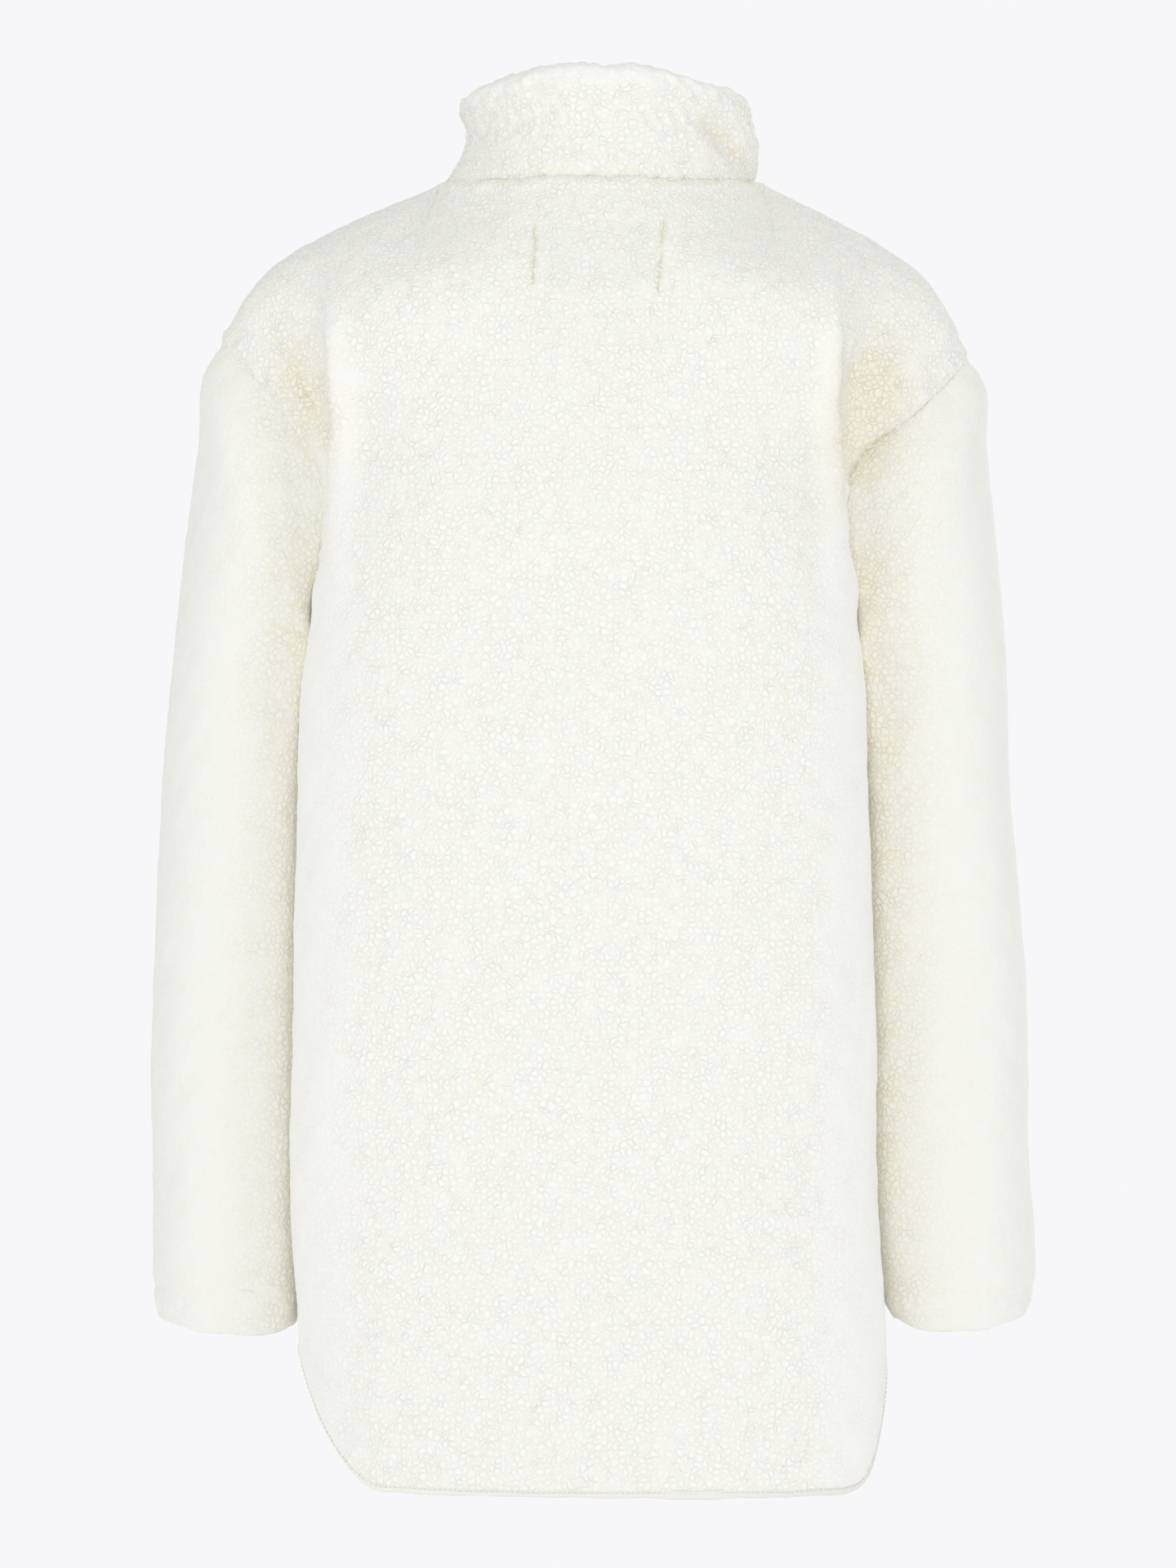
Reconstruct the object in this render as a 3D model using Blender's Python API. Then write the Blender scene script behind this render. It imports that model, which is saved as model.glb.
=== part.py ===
"""A long sherpa fleece pullover, filled out as if worn, with its back towards -Y.

One skin is drawn first. It is a set of grids, for the two body panels, the sleeves, the cuffs, the
collar and the tape round the hem, and neighbouring grids share their points along each seam. The
wall of a piece then goes inward from its own grid, along directions that the neighbours share too,
so that sewn edges meet face to face with a small gap between them.

Sizes in the tables are in millimetres. X runs across the back, Z is up, and the origin is the
middle of the neck, level with the seam of the collar.
"""

from collections import namedtuple

import bpy
import numpy as np

MM = 0.001

# Cloth. A rim's faces are split by the order of their ends along one direction
PILE_WALL = 5.0
COLLAR_WALL = 8.0
TAPE_WALL = 4.0
TAPE_HEIGHT = 5.3
SEAM_GAP = 0.3
RIM_ORDER = (0.31, 0.43, 1.0)

# Columns and rows of the grids
PANEL_COLUMNS = 32
NECK_COLUMNS = 12
BODY_ROWS = 12
YOKE_ROWS = 9
SLEEVE_ROWS = 20
CUFF_ROWS = 2
COLLAR_ROWS = 7

# The body's rings: how far the cloth reaches on each side at a height
BodyRing = namedtuple("BodyRing", "height left right back front")
BODY_RINGS = [
    BodyRing(-790, -173, 173, -122, 118),
    BodyRing(-740, -176, 175, -124, 120),
    BodyRing(-700, -179, 177, -125, 121),
    BodyRing(-660, -181, 173, -126, 122),
    BodyRing(-570, -184, 171, -128, 124),
    BodyRing(-450, -181, 168, -128, 124),
    BodyRing(-350, -178, 165, -127, 122),
    BodyRing(-250, -173, 158, -124, 118),
]
BODY_SQUARENESS = 2.4
WIDEST_DEPTH = -30
SIDE_SEAM_TURN = 105

# The hem hangs low at the back and front, and rises at the side seams. A rise starts and ends at
# a turn in degrees from the middle of the panel, and a power above 1 makes its corner squarer
SIDE_HEM = -705
HEM_TILT = 1.2
Hem = namedtuple("Hem", "lowest left_starts left_ends right_starts right_ends right_power")
BACK_HEM = Hem(-781, 48, 91, 53, 100, 1.7)
FRONT_HEM = Hem(-775, 32, 72, 32, 72, 1.0)

# The armholes, from the underarm up to the shoulder point
UNDERARM = -250
Armhole = namedtuple("Armhole", "left_x left_z right_x right_z back_y front_y")
ARMHOLES = [
    Armhole(-176.0, -250, 165.0, -250, 15, 15),
    Armhole(-171.0, -227, 159.0, -224, -19, 48),
    Armhole(-165.5, -188, 154.5, -184, -40, 70),
    Armhole(-178.0, -155, 167.0, -164, -46, 76),
    Armhole(-196.0, -129, 186.0, -145, -42, 70),
    Armhole(-214.0, -108, 206.0, -126, -31, 50),
    Armhole(-224.5, -98.5, 223.0, -110.5, -17, 27),
    Armhole(-228.5, -95, 228.5, -103, 0, 0),
]

# The shoulders, from the neck out to the shoulder point
Shoulder = namedtuple("Shoulder", "left_x left_z right_x right_z")
SHOULDERS = [
    Shoulder(-91.5, 6.5, 98.5, 6.5),
    Shoulder(-133.0, -12.0, 137.0, -12.5),
    Shoulder(-176.0, -32.5, 174.5, -32.5),
    Shoulder(-204.0, -53.0, 201.0, -52.5),
    Shoulder(-219.0, -73.5, 215.0, -72.5),
    Shoulder(-228.5, -95.0, 228.5, -103.0),
]
SHOULDER_ROLL = 16
SHOULDER_DROP = 2.5

# A panel's rows above the underarm, at a share of the armhole: the height and depth of the middle,
# how far the row turns round the body, and how much the shoulder lifts it half way out
Level = namedtuple("Level", "share height depth turn lift")
BACK_LEVELS = [
    Level(0.20, -206, -123, 90, 0),
    Level(0.42, -158, -119, 80, 0),
    Level(0.65, -104, -112, 68, 3),
    Level(0.85, -54, -99, 60, 6),
]
FRONT_LEVELS = [
    Level(0.20, -212, 117, 90, 0),
    Level(0.42, -172, 114, 80, 5),
    Level(0.65, -130, 106, 68, 13),
    Level(0.85, -90, 96, 60, 24),
]

# The neck seam
Neck = namedtuple("Neck", "depth height")
BACK_NECK = Neck(-75, 1)
FRONT_NECK = Neck(75, -35)
NECK_MIDDLE = 3.0
NECK_FLARE = 8
NECK_DROP = 14

# The collar's rings, from the neck seam up to the rolled rim
CollarRing = namedtuple("CollarRing", "left right back front back_z side_z front_z")
COLLAR_RINGS = [
    CollarRing(-85, 99.0, -74, 73, 14, 15, -22),
    CollarRing(-81, 100.5, -73, 71, 28, 27, -8),
    CollarRing(-80, 98.5, -75, 71, 43, 40, 6),
    CollarRing(-80, 93.0, -80, 73, 56, 51, 18),
    CollarRing(-77, 84.0, -81, 72, 67, 59, 26),
]

# The sleeves' rings, from just below the armhole to the cuff seam, and the cuff's end
SleeveRing = namedtuple("SleeveRing", "outer_x outer_z inner_x inner_z middle depth")
LEFT_SLEEVE = [
    SleeveRing(-242.0, -150, -178.5, -266, 14, 69),
    SleeveRing(-247.5, -190, -178.5, -281, 15, 67),
    SleeveRing(-253.5, -238, -179.0, -304, 17, 65),
    SleeveRing(-260.0, -300, -180.5, -342, 19, 62),
    SleeveRing(-266.5, -372, -182.0, -395, 21, 60),
    SleeveRing(-271.0, -455, -182.5, -466, 22, 58),
    SleeveRing(-273.0, -540, -182.5, -545, 22, 57),
    SleeveRing(-271.5, -610, -182.0, -612, 21, 56),
    SleeveRing(-270.5, -670, -182.0, -670, 21, 56),
    SleeveRing(-268.0, -697, -182.5, -697, 21, 55),
]
RIGHT_SLEEVE = [
    SleeveRing(241.0, -155, 165.5, -268, 14, 69),
    SleeveRing(245.0, -194, 164.5, -284, 15, 67),
    SleeveRing(249.5, -240, 164.5, -307, 17, 65),
    SleeveRing(253.5, -300, 166.0, -344, 19, 62),
    SleeveRing(257.0, -372, 168.5, -396, 21, 60),
    SleeveRing(263.5, -455, 170.5, -466, 22, 58),
    SleeveRing(267.5, -540, 171.5, -545, 22, 57),
    SleeveRing(268.5, -610, 173.0, -612, 21, 56),
    SleeveRing(270.0, -670, 177.5, -670, 21, 56),
    SleeveRing(265.0, -697, 183.5, -697, 21, 54),
]
SLEEVE_SQUARENESS = 2.2
HEAD_SHARE = 0.22
HEAD_PUFF = 5.0
HEAD_CROWDING = 1.35

# The large soft folds: a curve across the back or the front, its half-width and its depth
Fold = namedtuple("Fold", "face x0 z0 x1 z1 x2 z2 width depth")
BACK, FRONT = -1, 1
FOLDS = [
    Fold(BACK, -166, -40, -177, -95, -170, -150, 13, -6),
    Fold(BACK, 165, -45, 173, -105, 158, -160, 13, -6),
    Fold(BACK, 70, 44, 86, 30, 97, 10, 9, -5),
    Fold(BACK, -212, -285, -196, -296, -184, -335, 12, -5),
    Fold(BACK, 200, -285, 182, -305, 172, -350, 12, -5),
    Fold(BACK, -264, -462, -242, -478, -220, -505, 15, -3),
    Fold(BACK, 258, -512, 236, -528, 212, -548, 15, -3),
    Fold(FRONT, -168, -60, -178, -110, -170, -165, 14, -6),
    Fold(FRONT, 166, -62, 174, -118, 160, -170, 14, -6),
    Fold(FRONT, -262, -430, -236, -446, -205, -440, 14, -5),
    Fold(FRONT, 258, -440, 232, -458, 196, -450, 14, -5),
    Fold(FRONT, -264, -480, -238, -492, -210, -486, 13, -4),
    Fold(FRONT, 262, -490, 236, -502, 200, -496, 13, -4),
]


def spline(knots, values, at):
    """A natural cubic spline through values, whose first axis runs along the knots."""
    knots = np.asarray(knots, float)
    values = np.asarray(values, float)
    at = np.asarray(at, float)
    steps = np.diff(knots)
    count = len(knots)
    across = (1,) * (values.ndim - 1)
    slopes = np.diff(values, axis=0) / steps.reshape(-1, *across)
    system = np.eye(count)
    change = np.zeros_like(values)
    for k in range(1, count - 1):
        system[k, k - 1 : k + 2] = steps[k - 1], 2 * (steps[k - 1] + steps[k]), steps[k]
        change[k] = 6 * (slopes[k] - slopes[k - 1])
    bend = np.linalg.solve(system, change.reshape(count, -1)).reshape(values.shape)
    k = np.clip(np.searchsorted(knots, at, side="right") - 1, 0, count - 2)
    step = steps[k].reshape(at.shape + across)
    left = (knots[k + 1] - at).reshape(at.shape + across) / step
    right = 1 - left
    curve = (left**3 - left) * bend[k] + (right**3 - right) * bend[k + 1]
    return left * values[k] + right * values[k + 1] + curve * step**2 / 6


def chord_knots(points):
    """Knots spaced by the mean distance between one row of points and the next."""
    gaps = np.linalg.norm(np.diff(points, axis=0), axis=-1)
    return np.concatenate([[0], np.cumsum(gaps.reshape(len(gaps), -1).mean(axis=1))])


def ease(share):
    """A smooth step from 0 to 1."""
    share = np.clip(share, 0, 1)
    return share * share * (3 - 2 * share)


def power(value, squareness):
    """The superellipse's power of a sine or cosine."""
    return np.abs(value) ** (2 / squareness)


def body_row(panel, across, rise):
    """A row of a panel below the underarm, from the hem at rise 0 to the underarm at rise 1."""
    hem = BACK_HEM if panel == BACK else FRONT_HEM
    reach = SIDE_SEAM_TURN if panel == BACK else 180 - SIDE_SEAM_TURN
    turn = np.abs(across) * reach
    left = ease((turn - hem.left_starts) / (hem.left_ends - hem.left_starts))
    right = ease((turn - hem.right_starts) / (hem.right_ends - hem.right_starts))
    lift = np.where(across < 0, left, right**hem.right_power)
    lowest = hem.lowest - HEM_TILT * across
    hem_height = lowest + (SIDE_HEM - lowest) * lift + TAPE_HEIGHT
    height = hem_height + (UNDERARM - hem_height) * rise
    return body_ring(panel, across, height)


def body_ring(panel, across, height):
    """Points round the body at a height for each column."""
    sizes = np.array(BODY_RINGS, float)
    _, left, right, back, front = np.moveaxis(spline(sizes[:, 0], sizes, height), -1, 0)
    turn = np.radians(np.abs(across) * SIDE_SEAM_TURN)
    if panel == FRONT:
        turn = np.pi - np.radians(np.abs(across) * (180 - SIDE_SEAM_TURN))
    middle = (left + right) / 2
    side = np.where(across < 0, left, right)
    depth = np.where(np.cos(turn) > 0, back, front)
    x = middle + (side - middle) * power(np.sin(turn), BODY_SQUARENESS)
    y = WIDEST_DEPTH + (depth - WIDEST_DEPTH) * power(np.cos(turn), BODY_SQUARENESS)
    return np.stack([x, y, height], axis=-1)


def armhole_point(panel, side, share):
    """A point of an armhole, a share of the way from the underarm to the shoulder."""
    table = np.array(ARMHOLES, float)
    x, z = (table[:, 0], table[:, 1]) if side < 0 else (table[:, 2], table[:, 3])
    y = table[:, 4] if panel == BACK else table[:, 5]
    points = np.stack([x, y, z], axis=-1)
    knots = chord_knots(points)
    return spline(knots, points, np.array([share * knots[-1]]))[0]


def yoke_row(panel, across, level):
    """A row of a panel between the two armholes."""
    ends = [armhole_point(panel, side, level.share) for side in (-1, 1)]
    end = np.where(across[:, None] < 0, ends[0], ends[1])
    turn = np.radians(np.abs(across) * level.turn)
    last = np.radians(level.turn)
    middle = NECK_MIDDLE * level.share + (1 - level.share) * sum(e[0] for e in ends) / 2
    out = power(np.sin(turn) / np.sin(last), BODY_SQUARENESS)
    bend = 1 - power(np.cos(turn), BODY_SQUARENESS)
    bend /= 1 - power(np.cos(last), BODY_SQUARENESS)
    x = middle + (end[:, 0] - middle) * out
    y = level.depth + (end[:, 1] - level.depth) * bend
    z = level.height + (end[:, 2] - level.height) * across**2
    z += level.lift * np.sin(np.pi * np.abs(across) ** 0.75) ** 2
    return np.stack([x, y, z], axis=-1)


def neck_share():
    """The column of the neck point, as a share of the half panel."""
    return NECK_COLUMNS / PANEL_COLUMNS


def top_row(panel, across):
    """The shoulder seams and, between them, the neck seam."""
    neck = BACK_NECK if panel == BACK else FRONT_NECK
    table = np.array(SHOULDERS, float)
    points = np.zeros((len(across), 3))
    for index, column in enumerate(across):
        sides = table[:, :2] if column < 0 else table[:, 2:]
        out = (abs(column) - neck_share()) / (1 - neck_share())
        if out >= 0:
            knots = chord_knots(sides)
            points[index, [0, 2]] = spline(knots, sides, np.array([out * knots[-1]]))[0]
            continue
        turn = np.pi / 2 * abs(column) / neck_share()
        points[index] = (
            NECK_MIDDLE + (sides[0, 0] - NECK_MIDDLE) * np.sin(turn),
            neck.depth * np.cos(turn),
            neck.height + (sides[0, 1] - neck.height) * np.sin(turn) ** 4,
        )
    return points


def roll_row(panel, across, top):
    """The row just under the top one, which rounds the shoulder and starts the neck."""
    shoulder = ease((np.abs(across) / neck_share() - 0.7) / 0.9)[:, None]
    turn = np.pi / 2 * np.clip(across / neck_share(), -1, 1)
    drop = np.full(len(across), -NECK_DROP)
    at_neck = np.stack([NECK_FLARE * np.sin(turn), panel * NECK_FLARE * np.cos(turn), drop], axis=-1)
    at_shoulder = np.array([0, panel * SHOULDER_ROLL, -SHOULDER_DROP])
    fade = ease((1 - np.abs(across)) / 0.12)[:, None]
    return top + at_neck * (1 - shoulder) + at_shoulder * shoulder * (0.35 + 0.65 * fade)


def panel_grid(panel):
    """A body panel's grid, from the hem up to the shoulders and the neck."""
    across = np.linspace(-1, 1, PANEL_COLUMNS + 1)
    rises = [0, 0.08, 0.22, 0.42, 0.64, 0.82, 0.93, 0.975, 1]
    rows = [body_row(panel, across, rise) for rise in rises]
    for side, column in ((-1, 0), (1, -1)):
        pull = armhole_point(panel, side, 0) - rows[-1][column]
        near = np.where(across * side > 0, np.abs(across) ** 7, 0)
        rows[-1] = rows[-1] + near[:, None] * pull
    under = len(rows) - 1
    levels = BACK_LEVELS if panel == BACK else FRONT_LEVELS
    rows += [yoke_row(panel, across, level) for level in levels]
    top = top_row(panel, across)
    rows += [roll_row(panel, across, top), top]
    knots = chord_knots(np.array(rows))
    lower = np.linspace(0, knots[under], BODY_ROWS, endpoint=False)
    upper = np.linspace(knots[under], knots[-1], YOKE_ROWS + 1)
    return spline(knots, np.array(rows), np.concatenate([lower, upper]))


def ring_of_panels(back, front, row):
    """One row of both panels as a closed ring: the back left to right, then the front right to left."""
    return np.concatenate([back[row], front[row, -2:0:-1]])


def tape_grid(back, front):
    """The tape under the hem of both panels, from its lower edge up to the panels."""
    top = ring_of_panels(back, front, 0)
    bottom = top.copy()
    bottom[:, 2] -= TAPE_HEIGHT
    return np.stack([bottom, top])


def sleeve_ring(ring, turns):
    """A tilted ring of a sleeve. Turn 0 is its inner point, and a quarter turn its back."""
    outer = np.array([ring.outer_x, ring.middle, ring.outer_z])
    inner = np.array([ring.inner_x, ring.middle, ring.inner_z])
    reach = -np.sign(np.cos(turns)) * power(np.cos(turns), SLEEVE_SQUARENESS)
    depth = -np.sign(np.sin(turns)) * power(np.sin(turns), SLEEVE_SQUARENESS)
    points = (outer + inner) / 2 + (outer - inner) / 2 * reach[:, None]
    points[:, 1] += depth * ring.depth
    return points


def sleeve_grid(back, front, side, rings):
    """A sleeve's grid, from the armhole down to the cuff's end, and the cuff's rows within it."""
    column = 0 if side < 0 else -1
    armhole = np.concatenate([back[BODY_ROWS:, column], front[-2:BODY_ROWS:-1, column]])
    turns = np.linspace(0, 2 * np.pi, len(armhole), endpoint=False)
    lower = [sleeve_ring(ring, turns) for ring in rings]
    head = armhole + (lower[0] - armhole) * HEAD_SHARE + np.array([side * HEAD_PUFF, 0, 0])
    rows = np.array([armhole, head] + lower)
    knots = chord_knots(rows)
    shares = np.linspace(0, 1, SLEEVE_ROWS + 1) ** HEAD_CROWDING
    sleeve = spline(knots, rows, knots[-2] * shares)
    cuff = spline(knots, rows, np.linspace(knots[-2], knots[-1], CUFF_ROWS + 1))
    return sleeve, cuff


def collar_grid(back, front):
    """The collar's grid, from the neck seam up to its rim."""
    first = (PANEL_COLUMNS - NECK_COLUMNS) // 2
    neck = slice(first, first + NECK_COLUMNS + 1)
    seam = np.concatenate([back[-1, neck], front[-1, neck][-2:0:-1]])
    turns = np.linspace(-np.pi / 2, 1.5 * np.pi, 2 * NECK_COLUMNS, endpoint=False)
    rows = [seam]
    for ring in COLLAR_RINGS:
        behind = np.cos(turns) > 0
        reach = np.where(np.sin(turns) < 0, ring.left, ring.right) - NECK_MIDDLE
        depth = np.where(behind, ring.back, -ring.front)
        tilt = np.where(behind, ring.back_z, ring.front_z) - ring.side_z
        x = NECK_MIDDLE + reach * np.abs(np.sin(turns))
        y = depth * np.cos(turns)
        z = ring.side_z + tilt * np.cos(turns) ** 2
        rows.append(np.stack([x, y, z], axis=-1))
    knots = chord_knots(np.array(rows))
    return spline(knots, np.array(rows), np.linspace(0, knots[-1], COLLAR_ROWS + 1))


Grid = namedtuple("Grid", "group points closed turned")


def face_normals(grid):
    """The unit normal of each face of a grid, pointing out of the garment."""
    p = grid.points
    if grid.closed:
        p = np.concatenate([p, p[:, :1]], axis=1)
    vectors = np.cross(p[1:, 1:] - p[:-1, :-1], p[1:, :-1] - p[:-1, 1:])
    vectors /= np.linalg.norm(vectors, axis=-1, keepdims=True)
    return -vectors if grid.turned else vectors


def shared_normals(grids):
    """Unit normals for each grid. Where body, sleeve, collar or tape meet, each counts the same."""
    every = np.concatenate([grid.points.reshape(-1, 3) for grid in grids.values()])
    _, place = np.unique(np.round(every, 3), axis=0, return_inverse=True)
    place = place.reshape(-1)
    sums = {grid.group: np.zeros((place.max() + 1, 3)) for grid in grids.values()}
    start = 0
    for grid in grids.values():
        rows, columns = grid.points.shape[:2]
        index = place[start : start + rows * columns].reshape(rows, columns)
        if grid.closed:
            index = np.concatenate([index, index[:, :1]], axis=1)
        vectors = face_normals(grid)
        for corner in (index[:-1, :-1], index[1:, :-1], index[:-1, 1:], index[1:, 1:]):
            np.add.at(sums[grid.group], corner, vectors)
        start += rows * columns
    total = np.zeros((place.max() + 1, 3))
    for part in sums.values():
        total += part / np.maximum(np.linalg.norm(part, axis=1, keepdims=True), 1e-9)
    total /= np.linalg.norm(total, axis=1, keepdims=True)
    normals = {}
    start = 0
    for name, grid in grids.items():
        count = grid.points.shape[0] * grid.points.shape[1]
        normals[name] = total[place[start : start + count]].reshape(grid.points.shape)
        start += count
    return normals


def fold_depth(points, normals):
    """How far the folds move each point of the skin along its normal."""
    moved = np.zeros(points.shape[:-1])
    along = np.linspace(0, 1, 25)
    for fold in FOLDS:
        start, middle, end = (1 - along) ** 2, 2 * along * (1 - along), along**2
        line_x = start * fold.x0 + middle * fold.x1 + end * fold.x2
        line_z = start * fold.z0 + middle * fold.z1 + end * fold.z2
        nearest = np.full(points.shape[:-1], np.inf)
        place = np.zeros(points.shape[:-1])
        for share, x, z in zip(along, line_x, line_z):
            distance = np.hypot(points[..., 0] - x, points[..., 2] - z)
            closer = distance < nearest
            nearest = np.where(closer, distance, nearest)
            place = np.where(closer, share, place)
        facing = np.clip(fold.face * normals[..., 1] * 3, 0, 1)
        taper = np.sin(np.pi * np.clip(place, 0.04, 0.96)) ** 0.7
        moved += fold.depth * np.exp(-((nearest / fold.width) ** 2)) * taper * facing
    return moved


def set_back(grid, normals, edges):
    """The grid with its sewn edges moved half a seam gap into the piece."""
    moved = grid.points.copy()
    for edge in edges:
        rows, inner = {"first": (0, 1), "last": (-1, -2)}[edge.split("_")[0]]
        axis = 0 if edge.endswith("row") else 1
        border = np.take(grid.points, rows, axis)
        inside = np.take(grid.points, inner, axis)
        out = np.take(normals, rows, axis)
        if grid.closed:
            tangent = np.roll(border, -1, axis=0) - np.roll(border, 1, axis=0)
        else:
            tangent = np.gradient(border, axis=0)
        tangent /= np.linalg.norm(tangent, axis=1, keepdims=True)
        away = np.cross(out, tangent)
        away /= np.linalg.norm(away, axis=1, keepdims=True)
        away *= np.sign(np.sum(away * (inside - border), axis=1, keepdims=True))
        target = (rows, slice(None)) if axis == 0 else (slice(None), rows)
        moved[target] += away * SEAM_GAP / 2
    return moved


def split_rim(vertices, line, depth):
    """A rim's triangles. Each is split from its higher end, so two rims that face each other agree."""
    rank = vertices @ RIM_ORDER
    first, second = line[:-1], line[1:]
    higher = (rank[first] > rank[second])[:, None]
    upper = np.where(higher, np.stack([first, second, second + depth], axis=-1),
                     np.stack([first, second, first + depth], axis=-1))
    lower = np.where(higher, np.stack([first, second + depth, first + depth], axis=-1),
                     np.stack([second, second + depth, first + depth], axis=-1))
    return np.concatenate([upper, lower])


def wall_mesh(name, grid, normals, thickness, edges):
    """A closed wall: the grid, the same grid moved inward, and rims along the open edges."""
    outer = set_back(grid, normals, edges)
    inner = outer - np.reshape(thickness, (-1, 1, 1)) * normals
    rows, columns = outer.shape[:2]
    index = np.arange(rows * columns).reshape(rows, columns)
    if grid.closed:
        index = np.concatenate([index, index[:, :1]], axis=1)
    quads = np.stack([index[:-1, :-1], index[:-1, 1:], index[1:, 1:], index[1:, :-1]], axis=-1)
    quads = quads.reshape(-1, 4)
    depth = rows * columns
    border = [index[0, ::-1], index[-1]]
    if not grid.closed:
        border += [index[:, 0], index[::-1, -1]]
    vertices = np.concatenate([outer.reshape(-1, 3), inner.reshape(-1, 3)])
    rims = [split_rim(vertices, line, depth) for line in border]
    faces = np.concatenate([quads, quads[:, ::-1] + depth]).tolist() + np.concatenate(rims).tolist()
    if grid.turned:
        faces = [face[::-1] for face in faces]
    mesh = bpy.data.meshes.new(name)
    mesh.from_pydata((vertices * MM).tolist(), [], faces)
    mesh.shade_smooth()
    mesh.set_sharp_from_angle(angle=np.radians(50))
    return mesh


def cloth_material(name, colour, roughness):
    """A matt cloth in one colour."""
    material = bpy.data.materials.new(name)
    material.use_nodes = True
    shader = material.node_tree.nodes["Principled BSDF"]
    shader.inputs["Base Color"].default_value = (*colour, 1)
    shader.inputs["Roughness"].default_value = roughness
    shader.inputs["Metallic"].default_value = 0
    return material


def build():
    """Draws the skin, then makes each sewn piece from its own grid."""
    for obj in list(bpy.data.objects):
        bpy.data.objects.remove(obj, do_unlink=True)
    collection = bpy.data.collections.new("sherpa_pullover")
    bpy.context.scene.collection.children.link(collection)

    back = panel_grid(BACK)
    front = panel_grid(FRONT)
    front[: BODY_ROWS + 1, [0, -1]] = back[: BODY_ROWS + 1, [0, -1]]
    left, left_cuff = sleeve_grid(back, front, -1, LEFT_SLEEVE)
    right, right_cuff = sleeve_grid(back, front, 1, RIGHT_SLEEVE)
    grids = {
        "back": Grid("body", back, False, False),
        "front": Grid("body", front, False, True),
        "sleeve_left": Grid("left", left, True, False),
        "sleeve_right": Grid("right", right, True, True),
        "cuff_left": Grid("left", left_cuff, True, False),
        "cuff_right": Grid("right", right_cuff, True, True),
        "collar": Grid("collar", collar_grid(back, front), True, False),
        "hem_binding": Grid("tape", tape_grid(back, front), True, False),
    }
    normals = shared_normals(grids)
    for name, grid in grids.items():
        moved = fold_depth(grid.points, normals[name])[..., None] * normals[name]
        grids[name] = grid._replace(points=grid.points + moved)

    all_round = ("first_row", "last_row", "first_column", "last_column")
    pile = (0.90, 0.87, 0.79)
    collar_wall = [PILE_WALL] + [COLLAR_WALL] * COLLAR_ROWS
    pieces = {
        "back": (PILE_WALL, all_round, pile),
        "front": (PILE_WALL, all_round, pile),
        "sleeve_left": (PILE_WALL, ("first_row", "last_row"), pile),
        "sleeve_right": (PILE_WALL, ("first_row", "last_row"), pile),
        "cuff_left": (PILE_WALL, ("first_row",), pile),
        "cuff_right": (PILE_WALL, ("first_row",), pile),
        "collar": (collar_wall, ("first_row",), pile),
        "hem_binding": (TAPE_WALL, ("last_row",), (0.91, 0.89, 0.83)),
    }
    for name, (thickness, edges, colour) in pieces.items():
        mesh = wall_mesh(name, grids[name], normals[name], thickness, edges)
        mesh.materials.append(cloth_material(name, colour, 0.95))
        collection.objects.link(bpy.data.objects.new(name, mesh))


build()
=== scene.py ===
import bpy
import numpy as np
from mathutils import Matrix, Vector, kdtree


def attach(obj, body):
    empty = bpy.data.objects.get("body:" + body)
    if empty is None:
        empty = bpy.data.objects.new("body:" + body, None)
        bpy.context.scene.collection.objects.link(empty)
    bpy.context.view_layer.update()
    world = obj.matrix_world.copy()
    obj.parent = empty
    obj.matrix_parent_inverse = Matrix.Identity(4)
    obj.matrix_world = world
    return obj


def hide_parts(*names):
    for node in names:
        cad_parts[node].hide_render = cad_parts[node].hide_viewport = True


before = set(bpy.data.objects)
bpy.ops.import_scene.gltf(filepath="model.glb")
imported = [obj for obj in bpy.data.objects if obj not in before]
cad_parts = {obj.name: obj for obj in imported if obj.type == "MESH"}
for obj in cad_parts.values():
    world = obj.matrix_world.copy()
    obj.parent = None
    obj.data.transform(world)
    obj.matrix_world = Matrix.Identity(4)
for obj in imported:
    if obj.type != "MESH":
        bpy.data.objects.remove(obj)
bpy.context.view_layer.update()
MM = 0.001
print("walls of the packed model:", sorted(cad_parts))

# %% [markdown]
# ## The camera
# The pullover was seen straight from behind, from a little over three metres, so that its sides
# hardly taper. A narrow view from that distance keeps the same outline at the shoulders and cuffs.
# %% The camera
CAMERA_PLACE = Vector((-0.004, -3.2, -0.3625))
VIEW_HEIGHT = 0.960

camera = bpy.data.objects.new("camera", bpy.data.cameras.new("camera"))
camera.data.sensor_fit = "VERTICAL"
camera.data.angle = 2 * np.arctan(VIEW_HEIGHT / 2 / -CAMERA_PLACE.y)
camera.data.clip_end = 30
camera.location = CAMERA_PLACE
camera.rotation_euler = (np.pi / 2, 0, 0)
bpy.context.scene.collection.objects.link(camera)
bpy.context.scene.camera = camera
print("the camera stands", -CAMERA_PLACE.y, "m behind the back")

# %% [markdown]
# ## How fine the cloth is
# A curl of this pile is four to five millimetres wide. Quads of about two millimetres are small
# enough to lift each curl off the cloth, and large enough to stay quick. Finer detail is
# left to the bump in the material. The body, sleeves, collar and tape share their points along
# each seam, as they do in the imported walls.
# %% Rows and columns
PANEL_COLUMNS = 240
NECK_COLUMNS = 90
BODY_ROWS = 232
YOKE_ROWS = 120
SLEEVE_ROWS = 272
CUFF_ROWS = 14
COLLAR_ROWS = 44
TAPE_ROWS = 3
INNER_STEP = 4
BACK, FRONT = -1, 1

PILE_WALL = 5.0
COLLAR_WALL = 8.0
TAPE_WALL = 4.0
TAPE_HEIGHT = 5.3
TAPE_INSET = 0.3
SEAM_GAP = -0.5

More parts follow.
